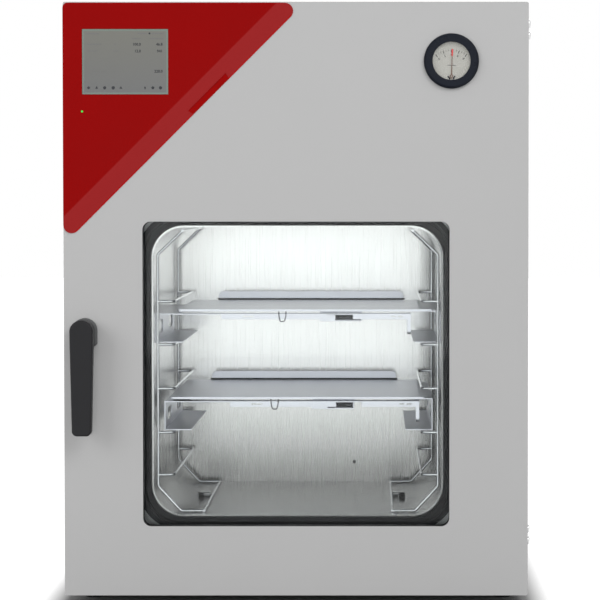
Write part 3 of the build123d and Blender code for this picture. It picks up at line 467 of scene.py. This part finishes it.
def lettering(shape, words, height, right, base, face, lean=0.0, align="RIGHT"):
    curve = bpy.data.curves.new("words", "FONT")       # flat text, facing the front
    curve.body = words
    curve.size = height * letterLook["perHeight"]
    curve.align_x = align
    curve.extrude = letterLook["deep"] / 2
    curve.offset = letterLook["bold"] * curve.size
    curve.resolution_u = letterLook["steps"]
    holder = bpy.data.objects.new("words", curve)
    bpy.context.scene.collection.objects.link(holder)
    bpy.context.view_layer.update()
    mesh = bpy.data.meshes.new_from_object(holder)
    bpy.data.objects.remove(holder)
    bpy.data.curves.remove(curve)
    turn = Matrix.Rotation(lean, 4, "Y") @ Matrix.Rotation(math.radians(90), 4, "X")
    mesh.transform(Matrix.Translation((right, face, base)) @ turn)
    shape.from_mesh(mesh)
    bpy.data.meshes.remove(mesh)


# cabinet, door and fittings: the frame's own pieces with their rims rounded

rimWidths = {                         # millimetres
    "outer_casing": 0.5, "rear_panel": 0.3, "base_tray": 0.3, "feet": 0.8, "front_frame": 0.3,
    "hinge_brackets": 0.6, "hinge_pins": 0.0, "latch_keeper": 0.5, "chamber": 0.6,
    "chamber_gasket": 1.6, "vacuum_port": 0.4, "vacuum_valve": 0.8, "gas_port": 0.2,
    "mains_inlet": 0.4, "main_switch": 0.5, "interface_socket": 0.2, "rack_left": 0.0,
    "rack_right": 0.0, "rack_locators": 0.3, "door_panel": 0.6, "door_back_cover": 0.3,
    "hinge_blocks": 0.5, "glass_pane": 0.2, "shatter_guard": 0.4, "glass_frame": 0.3,
    "handle_lever": 0.8, "handle_base": 0.7, "handle_spindle": 0.3, "latch_cam": 0.4,
    "display_unit": 0.2, "status_led": 0.0, "gauge_case": 0.5,
    "gauge_dial": 0.1, "gauge_needle": 0.08, "gauge_lens": 0.2, "upper_shelf_deck": 0.3,
    "upper_shelf_fixed_cheek": 0.3, "upper_shelf_slide": 0.3, "lower_shelf_deck": 0.3,
    "lower_shelf_fixed_cheek": 0.3, "lower_shelf_slide": 0.3, "upper_shelf_anchor": 0.0,
    "lower_shelf_anchor": 0.0,
}
for node, width in rimWidths.items():
    finishedNode(node, width)
for node, holder in frame["nodes"].items():            # the rest keep their own mesh
    holder.data.materials.clear()
    holder.data.materials.append(finishes[slotOf[node]])
print("rims rounded on", len(rimWidths), "nodes")


# screws, with six-lobed sockets in their heads

screwLook = {
    "around": 24, "crownSteps": 4, "lobes": 6, "lobeDepth": 0.16, "socketShare": 0.48,
    "socketDeep": 0.5, "socketRim": 0.2 * mm,
}


def screwHead(centre, outward, radius, height, crown):     # one head, turned to face outward
    shape = bmesh.new()
    bmesh.ops.create_cone(
        shape, cap_ends=True, segments=screwLook["around"], radius1=radius, radius2=radius,
        depth=height, matrix=Matrix.Translation((0, 0, height / 2)),
    )
    top = max(shape.faces, key=lambda f: f.calc_center_median().z)
    bmesh.ops.bevel(
        shape, geom=list(top.edges), offset=crown, offset_type="OFFSET",
        segments=screwLook["crownSteps"], profile=0.5, affect="EDGES", clamp_overlap=True, material=-1,
    )
    top = max(shape.faces, key=lambda f: (round(f.calc_center_median().z, 7), len(f.verts)))
    rim = screwLook["socketRim"]
    bmesh.ops.inset_region(shape, faces=[top], thickness=rim, use_even_offset=True)
    socket = radius * screwLook["socketShare"]
    for v in top.verts:               # waves the socket's rim
        angle = math.atan2(v.co.y, v.co.x)
        reach = socket * (1 + screwLook["lobeDepth"] * math.cos(screwLook["lobes"] * angle))
        v.co.x, v.co.y = reach * math.cos(angle), reach * math.sin(angle)
    floor = bmesh.ops.extrude_discrete_faces(shape, faces=[top])["faces"][0]
    bmesh.ops.translate(shape, verts=list(floor.verts), vec=(0, 0, -height * screwLook["socketDeep"]))
    turn = Vector((0, 0, 1)).rotation_difference(Vector(outward)).to_matrix().to_4x4()
    bmesh.ops.transform(shape, verts=shape.verts, matrix=Matrix.Translation(centre) @ turn)
    return shape


def looseParts(node):                 # centre, lowest and highest corner of each screw in a node
    shape = mergedNode(node)
    left = set(shape.verts)
    found = []
    while left:
        group, edge = set(), [left.pop()]
        while edge:
            v = edge.pop()
            group.add(v)
            for other in (e.other_vert(v) for e in v.link_edges):
                if other in left:
                    left.discard(other)
                    edge.append(other)
        low = Vector(min(v.co[i] for v in group) for i in range(3))
        high = Vector(max(v.co[i] for v in group) for i in range(3))
        found.append(((low + high) / 2, low, high))
    shape.free()
    return sorted(found, key=lambda part: tuple(part[0]))


def screwsFor(node, outward, radius, height, crown):
    outward = Vector(outward)
    shape = bmesh.new()
    for centre, low, high in looseParts(node):
        tip = Vector(high[i] if outward[i] > 0 else low[i] for i in range(3))
        seat = centre + outward * ((tip - centre).dot(outward) - height * mm)
        addTo(shape, screwHead(seat, outward, radius * mm, height * mm, crown * mm))
    piece = asPiece(shape, camel(node), slotOf[node], bodyOf[node])
    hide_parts(node)


screwsFor("casing_screws", (0, 1, 0), 4.0, 2.4, 1.3)
screwsFor("flange_screws", (0, -1, 0), 4.5, 1.6, 0.9)
screwsFor("hinge_screws", (1, 0, 0), 6.0, 4.0, 2.4)
print("screws made")


# display: generic figures, bars in place of words, and plain marks

readout = {                           # places in millimetres from the upper left corner
    "lift": 0.10 * mm, "sunk": 0.20 * mm, "row": 3.7 * mm, "bar": 1.6 * mm,
    "icon": 4.6 * mm, "iconDown": 79.9,
    "rows": ((20.7, (("100.0", 37.2), ("46.8", 7.7))), (29.9, (("12.0", 37.2), ("941", 7.7))),
             (57.3, (("220.0", 7.7),))),
    "bars": ((5.9, 6.5, 17.8), (6.9, 20.7, 19.9), (6.9, 29.9, 14.6), (6.5, 57.3, 27.2),
             (44.1, 20.7, 3.0), (42.4, 29.9, 7.7), (44.1, 57.3, 3.0), (68.0, 13.0, 12.5),
             (92.6, 13.0, 17.8), (75.9, 6.1, 12.5), (94.7, 6.1, 16.7)),
    "icons": {9.0: 4, 19.9: 3, 30.9: 6, 42.4: 12, 52.9: 3, 85.7: 4, 96.4: 5, 106.8: 8},
    "narrowFrom": 60.0, "dot": (92.0, 6.1, 2.6 * mm), "dotSides": 12,
}


def onDisplay(right, down):           # a place on the display, from millimetres
    return displayLow.x + right * mm, displayHigh.z - down * mm


def figures():
    shape = bmesh.new()
    face = displayLow.y - readout["lift"]
    for down, numbers in readout["rows"]:
        for words, fromRight in numbers:
            x, z = onDisplay(0, down)
            right = displayHigh.x - fromRight * mm
            lettering(shape, words, readout["row"], right, z - readout["row"] / 2, face)
    return asPiece(shape, "readoutFigures", "display_face", "door", inks["dark"])


def wordBars():
    shape = bmesh.new()
    for right, down, length in readout["bars"]:
        x, z = onDisplay(right, down)
        half = readout["bar"] / 2
        low = (x, displayLow.y - readout["lift"], z - half)
        block(shape, low, (x + length * mm, displayLow.y + readout["sunk"], z + half))
    return asPiece(shape, "readoutBars", "display_face", "door", inks["faint"])


def disc(shape, place, size, sides, squeeze=1.0):      # a flat plain figure with this many sides
    spot = Matrix.Translation(place) @ Matrix.Rotation(math.radians(90), 4, "X")
    spot = spot @ Matrix.Diagonal((squeeze, 1.0, 1.0, 1.0))
    bmesh.ops.create_cone(
        shape, cap_ends=True, segments=sides, radius1=size / 2, radius2=size / 2,
        depth=0.2 * mm, matrix=spot,
    )


def icons():                          # plain shapes: list, drop, grid, disc, arrow, bar, star, turn
    shape = bmesh.new()
    y = displayLow.y - readout["lift"]
    for right, sides in readout["icons"].items():
        x, z = onDisplay(right, readout["iconDown"])
        narrow = sides == 4 and right > readout["narrowFrom"]
        disc(shape, (x, y, z), readout["icon"], sides, 0.5 if narrow else 1.0)
    right, down, size = readout["dot"]
    x, z = onDisplay(right, down)
    disc(shape, (x, y, z), size, readout["dotSides"])
    return asPiece(shape, "readoutIcons", "display_face", "door", inks["dark"])


figures()
wordBars()
icons()
print("display written")


# corner panel, thinned towards its sloping edge, its slot for a memory stick, and painted shade inside
# the window's edge

sheetLook = {                         # millimetres
    "tip": 11.2, "corner": 7.0, "edge": 0.8, "rim": 0.25, "rimFrom": 0.3, "slotFloor": 0.5,
    "steps": 8, "lampSides": 24,
    "slot": ((86.9, 0.0), (89.3, 8.8), (16.4, 8.8), (18.8, 0.0)),      # along the slope, and inward
    # the window's size, then the dark sheet that paints shade inside its edge
    "window": (419.0, 417.0, 11.0), "liningGap": 0.02, "lining": 0.5, "liningIn": 0.5,
    "liningDeep": 13.4,
}


def roundedOutline(points, radii):    # corners in turn, each with its radius
    outline = []
    steps = sheetLook["steps"]
    for i, point in enumerate(points):
        here = Vector(point)
        back = (Vector(points[i - 1]) - here).normalized()
        ahead = (Vector(points[(i + 1) % len(points)]) - here).normalized()
        half = back.angle(ahead) / 2
        centre = here + (back + ahead).normalized() * (radii[i] / math.sin(half))
        start = here + back * (radii[i] / math.tan(half)) - centre
        sweep = (math.pi - 2 * half) * (1 if back.x * ahead.y < back.y * ahead.x else -1)
        first = math.atan2(start.y, start.x)
        for step in range(steps + 1):
            angle = first + sweep * step / steps
            outline.append(centre + radii[i] * Vector((math.cos(angle), math.sin(angle))))
    return outline


def plate(loops, back, thick):        # a sheet facing the front: its outline, then its holes
    shape = bmesh.new()
    edges = []
    for loop in loops:
        verts = [shape.verts.new((x, back, z)) for x, z in loop]
        edges += [shape.edges.new(pair) for pair in zip(verts, verts[1:] + verts[:1])]
    bmesh.ops.triangle_fill(shape, use_beauty=True, use_dissolve=False, edges=edges)
    grown = bmesh.ops.extrude_face_region(shape, geom=shape.faces[:])["geom"]
    front = [g for g in grown if isinstance(g, bmesh.types.BMVert)]
    bmesh.ops.translate(shape, verts=front, vec=(0, -thick, 0))
    bmesh.ops.recalc_face_normals(shape, faces=shape.faces)
    return shape


def onSlope(along, inward):           # a place by the sloping edge, from its middle
    half = panelLook["reach"] / 2
    side = math.sqrt(0.5) * mm
    return Vector((
        panelLow.x + half + (along - inward) * side, panelHigh.z - half + (along + inward) * side
    ))


def cornerPanel():
    left, top, reach = panelLow.x, panelHigh.z, panelLook["reach"]
    tip, corner = sheetLook["tip"] * mm, sheetLook["corner"] * mm
    points = [(left, top), (left + reach, top), (left, top - reach)]
    outline = roundedOutline(points, [corner, tip, tip])
    slot = [onSlope(*place) for place in sheetLook["slot"]]
    upperTips = 2 * (sheetLook["steps"] + 1)              # the points of the first two corners
    outline[upperTips:upperTips] = slot
    lampLow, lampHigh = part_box("status_led")
    middle = (lampLow + lampHigh) / 2
    radius = (lampHigh.x - lampLow.x) / 2
    turns = [math.tau * i / sheetLook["lampSides"] for i in range(sheetLook["lampSides"])]
    hole = [(middle.x + radius * math.cos(a), middle.z + radius * math.sin(a)) for a in turns]
    x0, x1, z0, z1 = displayLow.x, displayHigh.x, displayLow.z, displayHigh.z
    pane = [(x0, z0), (x1, z0), (x1, z1), (x0, z1)]
    back = panelHigh.y
    thick = back - panelLow.y
    shape = plate([outline, pane, hole], back, thick)
    band = panelLook["band"]
    bmesh.ops.bisect_plane(
        shape, geom=shape.verts[:] + shape.edges[:] + shape.faces[:], dist=1e-6,
        plane_co=(left + reach - band, 0, top), plane_no=(1, 0, -1),
    )
    edge = sheetLook["edge"] * mm
    for v in shape.verts:
        share = (reach - (v.co.x - left) - (top - v.co.z)) / band
        if v.co.y < back - thick / 2 and share < 1:
            v.co.y = back - (edge + (thick - edge) * share)
    front = back - sheetLook["rimFrom"] * mm
    roundRims(shape, sheetLook["rim"] * mm, keep=lambda e: all(v.co.y < front for v in e.verts))
    piece = asPiece(shape, "cornerPanel", "red_panel", "door")
    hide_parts("controller_panel")


def stickSlot():
    places = [onSlope(*place) for place in sheetLook["slot"]]
    shape = plate([places], panelHigh.y, sheetLook["slotFloor"] * mm)
    asPiece(shape, "stickSlot", "red_panel", "door", inks["slot"])


def windowLining():                   # a dark sheet that paints shade on the inner face of the window's edge
    wide, high, corner = sheetLook["window"]
    frameLow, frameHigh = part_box("glass_frame")
    middle = Vector(((frameLow.x + frameHigh.x) / 2, (frameLow.z + frameHigh.z) / 2))
    loops = []
    for inset in (sheetLook["liningGap"], sheetLook["lining"]):
        x, z = (wide / 2 - inset) * mm, (high / 2 - inset) * mm
        corners = [middle + Vector(c) for c in ((-x, -z), (x, -z), (x, z), (-x, z))]
        loops.append(roundedOutline(corners, [(corner - inset) * mm] * 4))
    back = doorLow.y + sheetLook["liningDeep"] * mm
    shape = plate(loops, back, (sheetLook["liningDeep"] - sheetLook["liningIn"]) * mm)
    asPiece(shape, "windowLining", "black_plastic", "door")


cornerPanel()
stickSlot()
windowLining()
print("corner panel and lining made")


# gauge: scale, figures, stops beside the needle, and the needle's red tip

gaugeLook = {
    "reach": 36.4, "long": 4.2, "short": 2.2, "thick": 1.0, "thin": 0.6,
    "from": -36.0, "to": 35.0, "marks": 12, "every": 3, "figure": 3.0, "figureIn": 9.0,
    "numbers": ("0", "2", "4", "6", "8"), "pivotDrop": 20.6, "barDrop": 5.8, "barLong": 11.4,
    "stopDrop": 22.6, "stopLean": 32.0, "stopApart": 3.4, "stopHalf": (1.0, 0.5, 2.6), "stopRim": 0.2,
    "behindNeedle": 0.62, "stopBehind": 0.1, "markDeep": 0.3, "barHalf": 0.5, "barDeep": 0.2,
    "tipHalf": (1.0, 0.12, 4.9), "tipReach": 32.0, "tipLean": 2.0,
}


def dialPlace(angle, reach):          # a point on the dial, in metres, by angle from upright
    x = (gaugeLow.x + gaugeHigh.x) / 2 + reach * mm * math.sin(angle)
    z = (gaugeLow.z + gaugeHigh.z) / 2 - gaugeLook["pivotDrop"] * mm + reach * mm * math.cos(angle)
    return x, z


def scale():
    shape = bmesh.new()
    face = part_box("gauge_needle")[1].y + gaugeLook["behindNeedle"] * mm
    span = gaugeLook["to"] - gaugeLook["from"]
    for i in range(gaugeLook["marks"] + 1):
        angle = math.radians(gaugeLook["from"] + span * i / gaugeLook["marks"])
        major = i % gaugeLook["every"] == 0
        length = gaugeLook["long"] if major else gaugeLook["short"]
        wide = gaugeLook["thick"] if major else gaugeLook["thin"]
        x, z = dialPlace(angle, gaugeLook["reach"] - length / 2)
        halfWide, halfLong = wide * mm / 2, length * mm / 2
        deep = gaugeLook["markDeep"] * mm
        verts = block(shape, (-halfWide, 0, -halfLong), (halfWide, deep, halfLong))
        turn = Matrix.Translation((x, face, z)) @ Matrix.Rotation(angle, 4, "Y")
        bmesh.ops.transform(shape, verts=verts, matrix=turn)
        if major:
            number = gaugeLook["numbers"][i // gaugeLook["every"]]
            height = gaugeLook["figure"] * mm
            x, z = dialPlace(angle, gaugeLook["reach"] - gaugeLook["figureIn"])
            lettering(shape, number, height, x, z, face + 0.05 * mm, angle, "CENTER")
    return asPiece(shape, "gaugeScale", "dial_silver", "door", inks["dark"])


def needleStops():                    # two small black tabs that stand up from the bezel
    shape = bmesh.new()
    middle = (gaugeLow.x + gaugeHigh.x) / 2
    z = (gaugeLow.z + gaugeHigh.z) / 2 - gaugeLook["stopDrop"] * mm
    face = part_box("gauge_needle")[1].y + gaugeLook["stopBehind"] * mm
    half = Vector(gaugeLook["stopHalf"]) * mm
    for side in (-1, 1):
        verts = block(shape, (-half.x, 0, -half.z), (half.x, half.y, half.z))
        lean = Matrix.Rotation(side * math.radians(gaugeLook["stopLean"]), 4, "Y")
        place = Matrix.Translation((middle + side * gaugeLook["stopApart"] * mm, face, z)) @ lean
        bmesh.ops.transform(shape, verts=verts, matrix=place)
    roundRims(shape, gaugeLook["stopRim"] * mm)
    return asPiece(shape, "needleStops", "bezel_black", "door")


def dialBar():                        # a short printed line in place of words
    shape = bmesh.new()
    middle = (gaugeLow.x + gaugeHigh.x) / 2
    z = (gaugeLow.z + gaugeHigh.z) / 2 - gaugeLook["barDrop"] * mm
    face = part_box("gauge_needle")[1].y + gaugeLook["behindNeedle"] * mm
    half, tall = gaugeLook["barLong"] / 2 * mm, gaugeLook["barHalf"] * mm
    rear = face + gaugeLook["barDeep"] * mm
    block(shape, (middle - half, face, z - tall), (middle + half, rear, z + tall))
    return asPiece(shape, "dialBar", "dial_silver", "door", inks["grey"])


def needleTip():
    shape = bmesh.new()
    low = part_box("gauge_needle")[0]
    lean = math.radians(gaugeLook["tipLean"])
    x, z = dialPlace(lean, gaugeLook["tipReach"])
    half = Vector(gaugeLook["tipHalf"]) * mm
    verts = block(shape, (-half.x, low.y - half.y, -half.z), (half.x, low.y + half.y, half.z))
    place = Matrix.Translation((x, 0, z)) @ Matrix.Rotation(lean, 4, "Y")
    bmesh.ops.transform(shape, verts=verts, matrix=place)
    return asPiece(shape, "needleTip", "needle_black", "needle", inks["red"])


scale()
needleStops()
dialBar()
needleTip()
print("gauge drawn")


# shelf springs: a helix of wire with straight ends to its two tabs

coilLook = {                          # millimetres; the straight ends are at rest
    "wire": 0.55, "pitch": 1.5, "around": 8, "steps": 20,
    "ends": {"upper_shelf_spring": (12.1, 10.6), "lower_shelf_spring": (1.0, 1.0)},
}


def rodBetween(shape, start, end, radius, around=8):       # a straight round wire
    start, end = Vector(start), Vector(end)
    turn = (end - start).to_track_quat("Z", "Y").to_matrix().to_4x4()
    bmesh.ops.create_cone(
        shape, cap_ends=True, segments=around, radius1=radius, radius2=radius,
        depth=(end - start).length, matrix=Matrix.Translation((start + end) / 2) @ turn,
    )


def coil(node):
    low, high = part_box(node)
    wire = coilLook["wire"] * mm
    reach = (high.z - low.z) / 2 - wire
    middle = (low + high) / 2
    before, after = coilLook["ends"][node]
    left, right = low.x + before * mm, high.x - after * mm
    turns = max(3, round((right - left) / (coilLook["pitch"] * mm)))
    shape = bmesh.new()
    start = Matrix.Translation((left, middle.y, middle.z + reach))
    start = start @ Matrix.Rotation(math.radians(90), 4, "X")
    section = bmesh.ops.create_circle(
        shape, cap_ends=True, segments=coilLook["around"], radius=wire, matrix=start
    )
    count = turns * coilLook["steps"]
    bmesh.ops.spin(
        shape, geom=section["verts"] + shape.edges[:] + shape.faces[:], cent=middle, axis=(1, 0, 0),
        dvec=((right - left) / count, 0, 0), angle=math.tau * turns, steps=count, use_merge=False,
    )
    bmesh.ops.recalc_face_normals(shape, faces=shape.faces)
    top = middle.z + reach
    rodBetween(shape, (low.x, middle.y, top), (left, middle.y, top), wire)
    rodBetween(shape, (right, middle.y, top), (high.x, middle.y, top), wire)
    piece = asPiece(shape, camel(node) + "Coil", slotOf[node], bodyOf[node], sharp=60.0)
    piece.parent = None
    piece.matrix_world = Matrix.Identity(4)
    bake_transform(piece)
    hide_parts(node)


coil("upper_shelf_spring")
coil("lower_shelf_spring")
print("springs wound")


# small dark parts: the port's filter and the shadow line at the foot of each shelf's fence

smallLook = {                         # millimetres
    "filter": 2.5, "filterIn": 1.5, "deckThick": 2.0, "gapLow": 0.2, "gapHigh": 2.6,
    "gapProud": 0.15, "gapDeep": 0.4, "gapInset": 6.0,
}


def portFilter():
    shape = bmesh.new()
    low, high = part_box("vacuum_port")
    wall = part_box("chamber")[1].y
    middle = Vector(((low.x + high.x) / 2, wall - smallLook["filterIn"] * mm, (low.z + high.z) / 2))
    disc(shape, middle, 2 * smallLook["filter"] * mm, 24)
    return asPiece(shape, "portFilter", "stainless", "cabinet", inks["dark"])


def fenceShadowLine(node):
    # a dark strip, proud of the fence, painted as the shadow line at its foot
    shape = bmesh.new()
    low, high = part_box(node)
    mesh = frame["nodes"][node].data
    fence = [v.co for v in mesh.vertices if v.co.z > high.z - 1.0 * mm]
    front = min(v.y for v in fence) - smallLook["gapProud"] * mm
    half = (max(v.x for v in fence) - min(v.x for v in fence)) / 2 + smallLook["gapInset"] * mm
    middle = (low.x + high.x) / 2
    foot = min(v.co.z for v in mesh.vertices if abs(v.co.y - high.y) < 0.1 * mm)
    deckTop = foot + smallLook["deckThick"] * mm
    block(
        shape, (middle - half, front, deckTop + smallLook["gapLow"] * mm),
        (middle + half, front + smallLook["gapDeep"] * mm, deckTop + smallLook["gapHigh"] * mm),
    )
    return asPiece(shape, camel(node) + "Gap", "shelf_aluminium", bodyOf[node], inks["dark"])


portFilter()
fenceShadowLine("upper_shelf_deck")
fenceShadowLine("lower_shelf_deck")
print("small dark parts made")


# floor, world, lamps and camera

studio = {
    "floor": 12.0, "floorColour": tint(158, 158, 158), "ambient": 0.50,
    "shadeX": 0.318, "sideFade": 0.04, "frontFrom": 0.27, "frontFade": 0.35,
    "lamps": (                        # name, place, aim, width, height, watts, mirrored by metal
        ("keyLamp", (1.7, -2.9, 2.6), (0.0, -0.2, 0.45), 2.0, 2.0, 43.0, True),
        ("fillLamp", (-2.3, -2.5, 1.5), (0.0, -0.2, 0.4), 1.8, 1.8, 24.0, True),
        ("frontLamp", (-0.15, -4.4, 0.58), (-0.15, 0.0, 0.58), 1.7, 1.1, 10.5, True),
        ("doorLamp", (-0.1, -4.4, 0.45), (-0.1, 0.0, 0.45), 1.7, 0.9, 17.0, False),
        ("rearLamp", (0.8, 2.9, 2.2), (0.0, 0.2, 0.4), 2.0, 2.0, 26.0, True),
    ),
}


def makeFloor():
    shape = bmesh.new()
    bmesh.ops.create_grid(shape, x_segments=8, y_segments=8, size=studio["floor"])
    mesh = bpy.data.meshes.new("floor")
    shape.to_mesh(mesh)
    shape.free()
    sheet = newSheet("paleFloor")
    path = sheet.node("LightPath")
    seen = path + Wire(sheet, path.out.node.outputs[3]) + Wire(sheet, path.out.node.outputs[6])
    mottle = sheet.noise(3.0, 2.0)
    base = sheet.blend(mottle, shade(studio["floorColour"], 0.99), studio["floorColour"])
    plain = sheet.node("BsdfDiffuse", None, {"Color": base})
    x, y, z = sheet.axes()            # painted shadow: no lift under the object and close to it, where the real shadow also falls; white beyond
    beside = (x.size() - studio["shadeX"]) / studio["sideFade"]
    before = (y.size() - studio["frontFrom"]) / studio["frontFade"]
    clear = sheet.between(beside.most(before), 0.0, 1.0)
    lift = sheet.node("Emission", None, {"Strength": seen * clear})
    mesh.materials.append(sheet.done(sheet.node("AddShader", None, {0: plain, 1: lift})))
    floor = bpy.data.objects.new("floor", mesh)
    bpy.context.scene.collection.objects.link(floor)


def makeWorld():
    world = bpy.data.worlds.new("studioWorld")
    bpy.context.scene.world = world
    sheet = Sheet(world)
    path = sheet.node("LightPath")
    seen = path + Wire(sheet, path.out.node.outputs[3]) + Wire(sheet, path.out.node.outputs[6])
    level = sheet.between(seen, 0.0, 1.0, studio["ambient"], 1.0)
    light = sheet.node("Background", None, {"Color": (1.0, 1.0, 1.0, 1.0), "Strength": level})
    sheet.node("OutputWorld", None, {0: light})


def makeLamps():
    for name, place, aim, wide, high, power, mirrored in studio["lamps"]:
        lamp = bpy.data.lights.new(name, "AREA")
        lamp.shape = "RECTANGLE"
        lamp.size = wide
        lamp.size_y = high
        lamp.energy = power
        holder = bpy.data.objects.new(name, lamp)
        bpy.context.scene.collection.objects.link(holder)
        holder.location = place
        holder.rotation_euler = (Vector(aim) - Vector(place)).to_track_quat("-Z", "Y").to_euler()
        holder.visible_glossy = mirrored


cameraLook = {
    "place": (0.10367, -3.049, 0.55119), "down": 1.579, "lens": 123.2,
    "shiftX": -0.11996, "shiftY": -0.06695,
}


def makeCamera():
    data = bpy.data.cameras.new("camera")
    data.sensor_width = 36.0
    data.lens = cameraLook["lens"]
    data.shift_x = cameraLook["shiftX"]
    data.shift_y = cameraLook["shiftY"]
    data.clip_end = 40.0
    camera = bpy.data.objects.new("camera", data)
    bpy.context.scene.collection.objects.link(camera)
    camera.location = cameraLook["place"]
    camera.rotation_euler = (math.radians(90 - cameraLook["down"]), 0.0, 0.0)
    bpy.context.scene.camera = camera


makeFloor()
makeWorld()
makeLamps()
makeCamera()
bpy.context.scene.view_settings.view_transform = "Standard"
print("studio set")
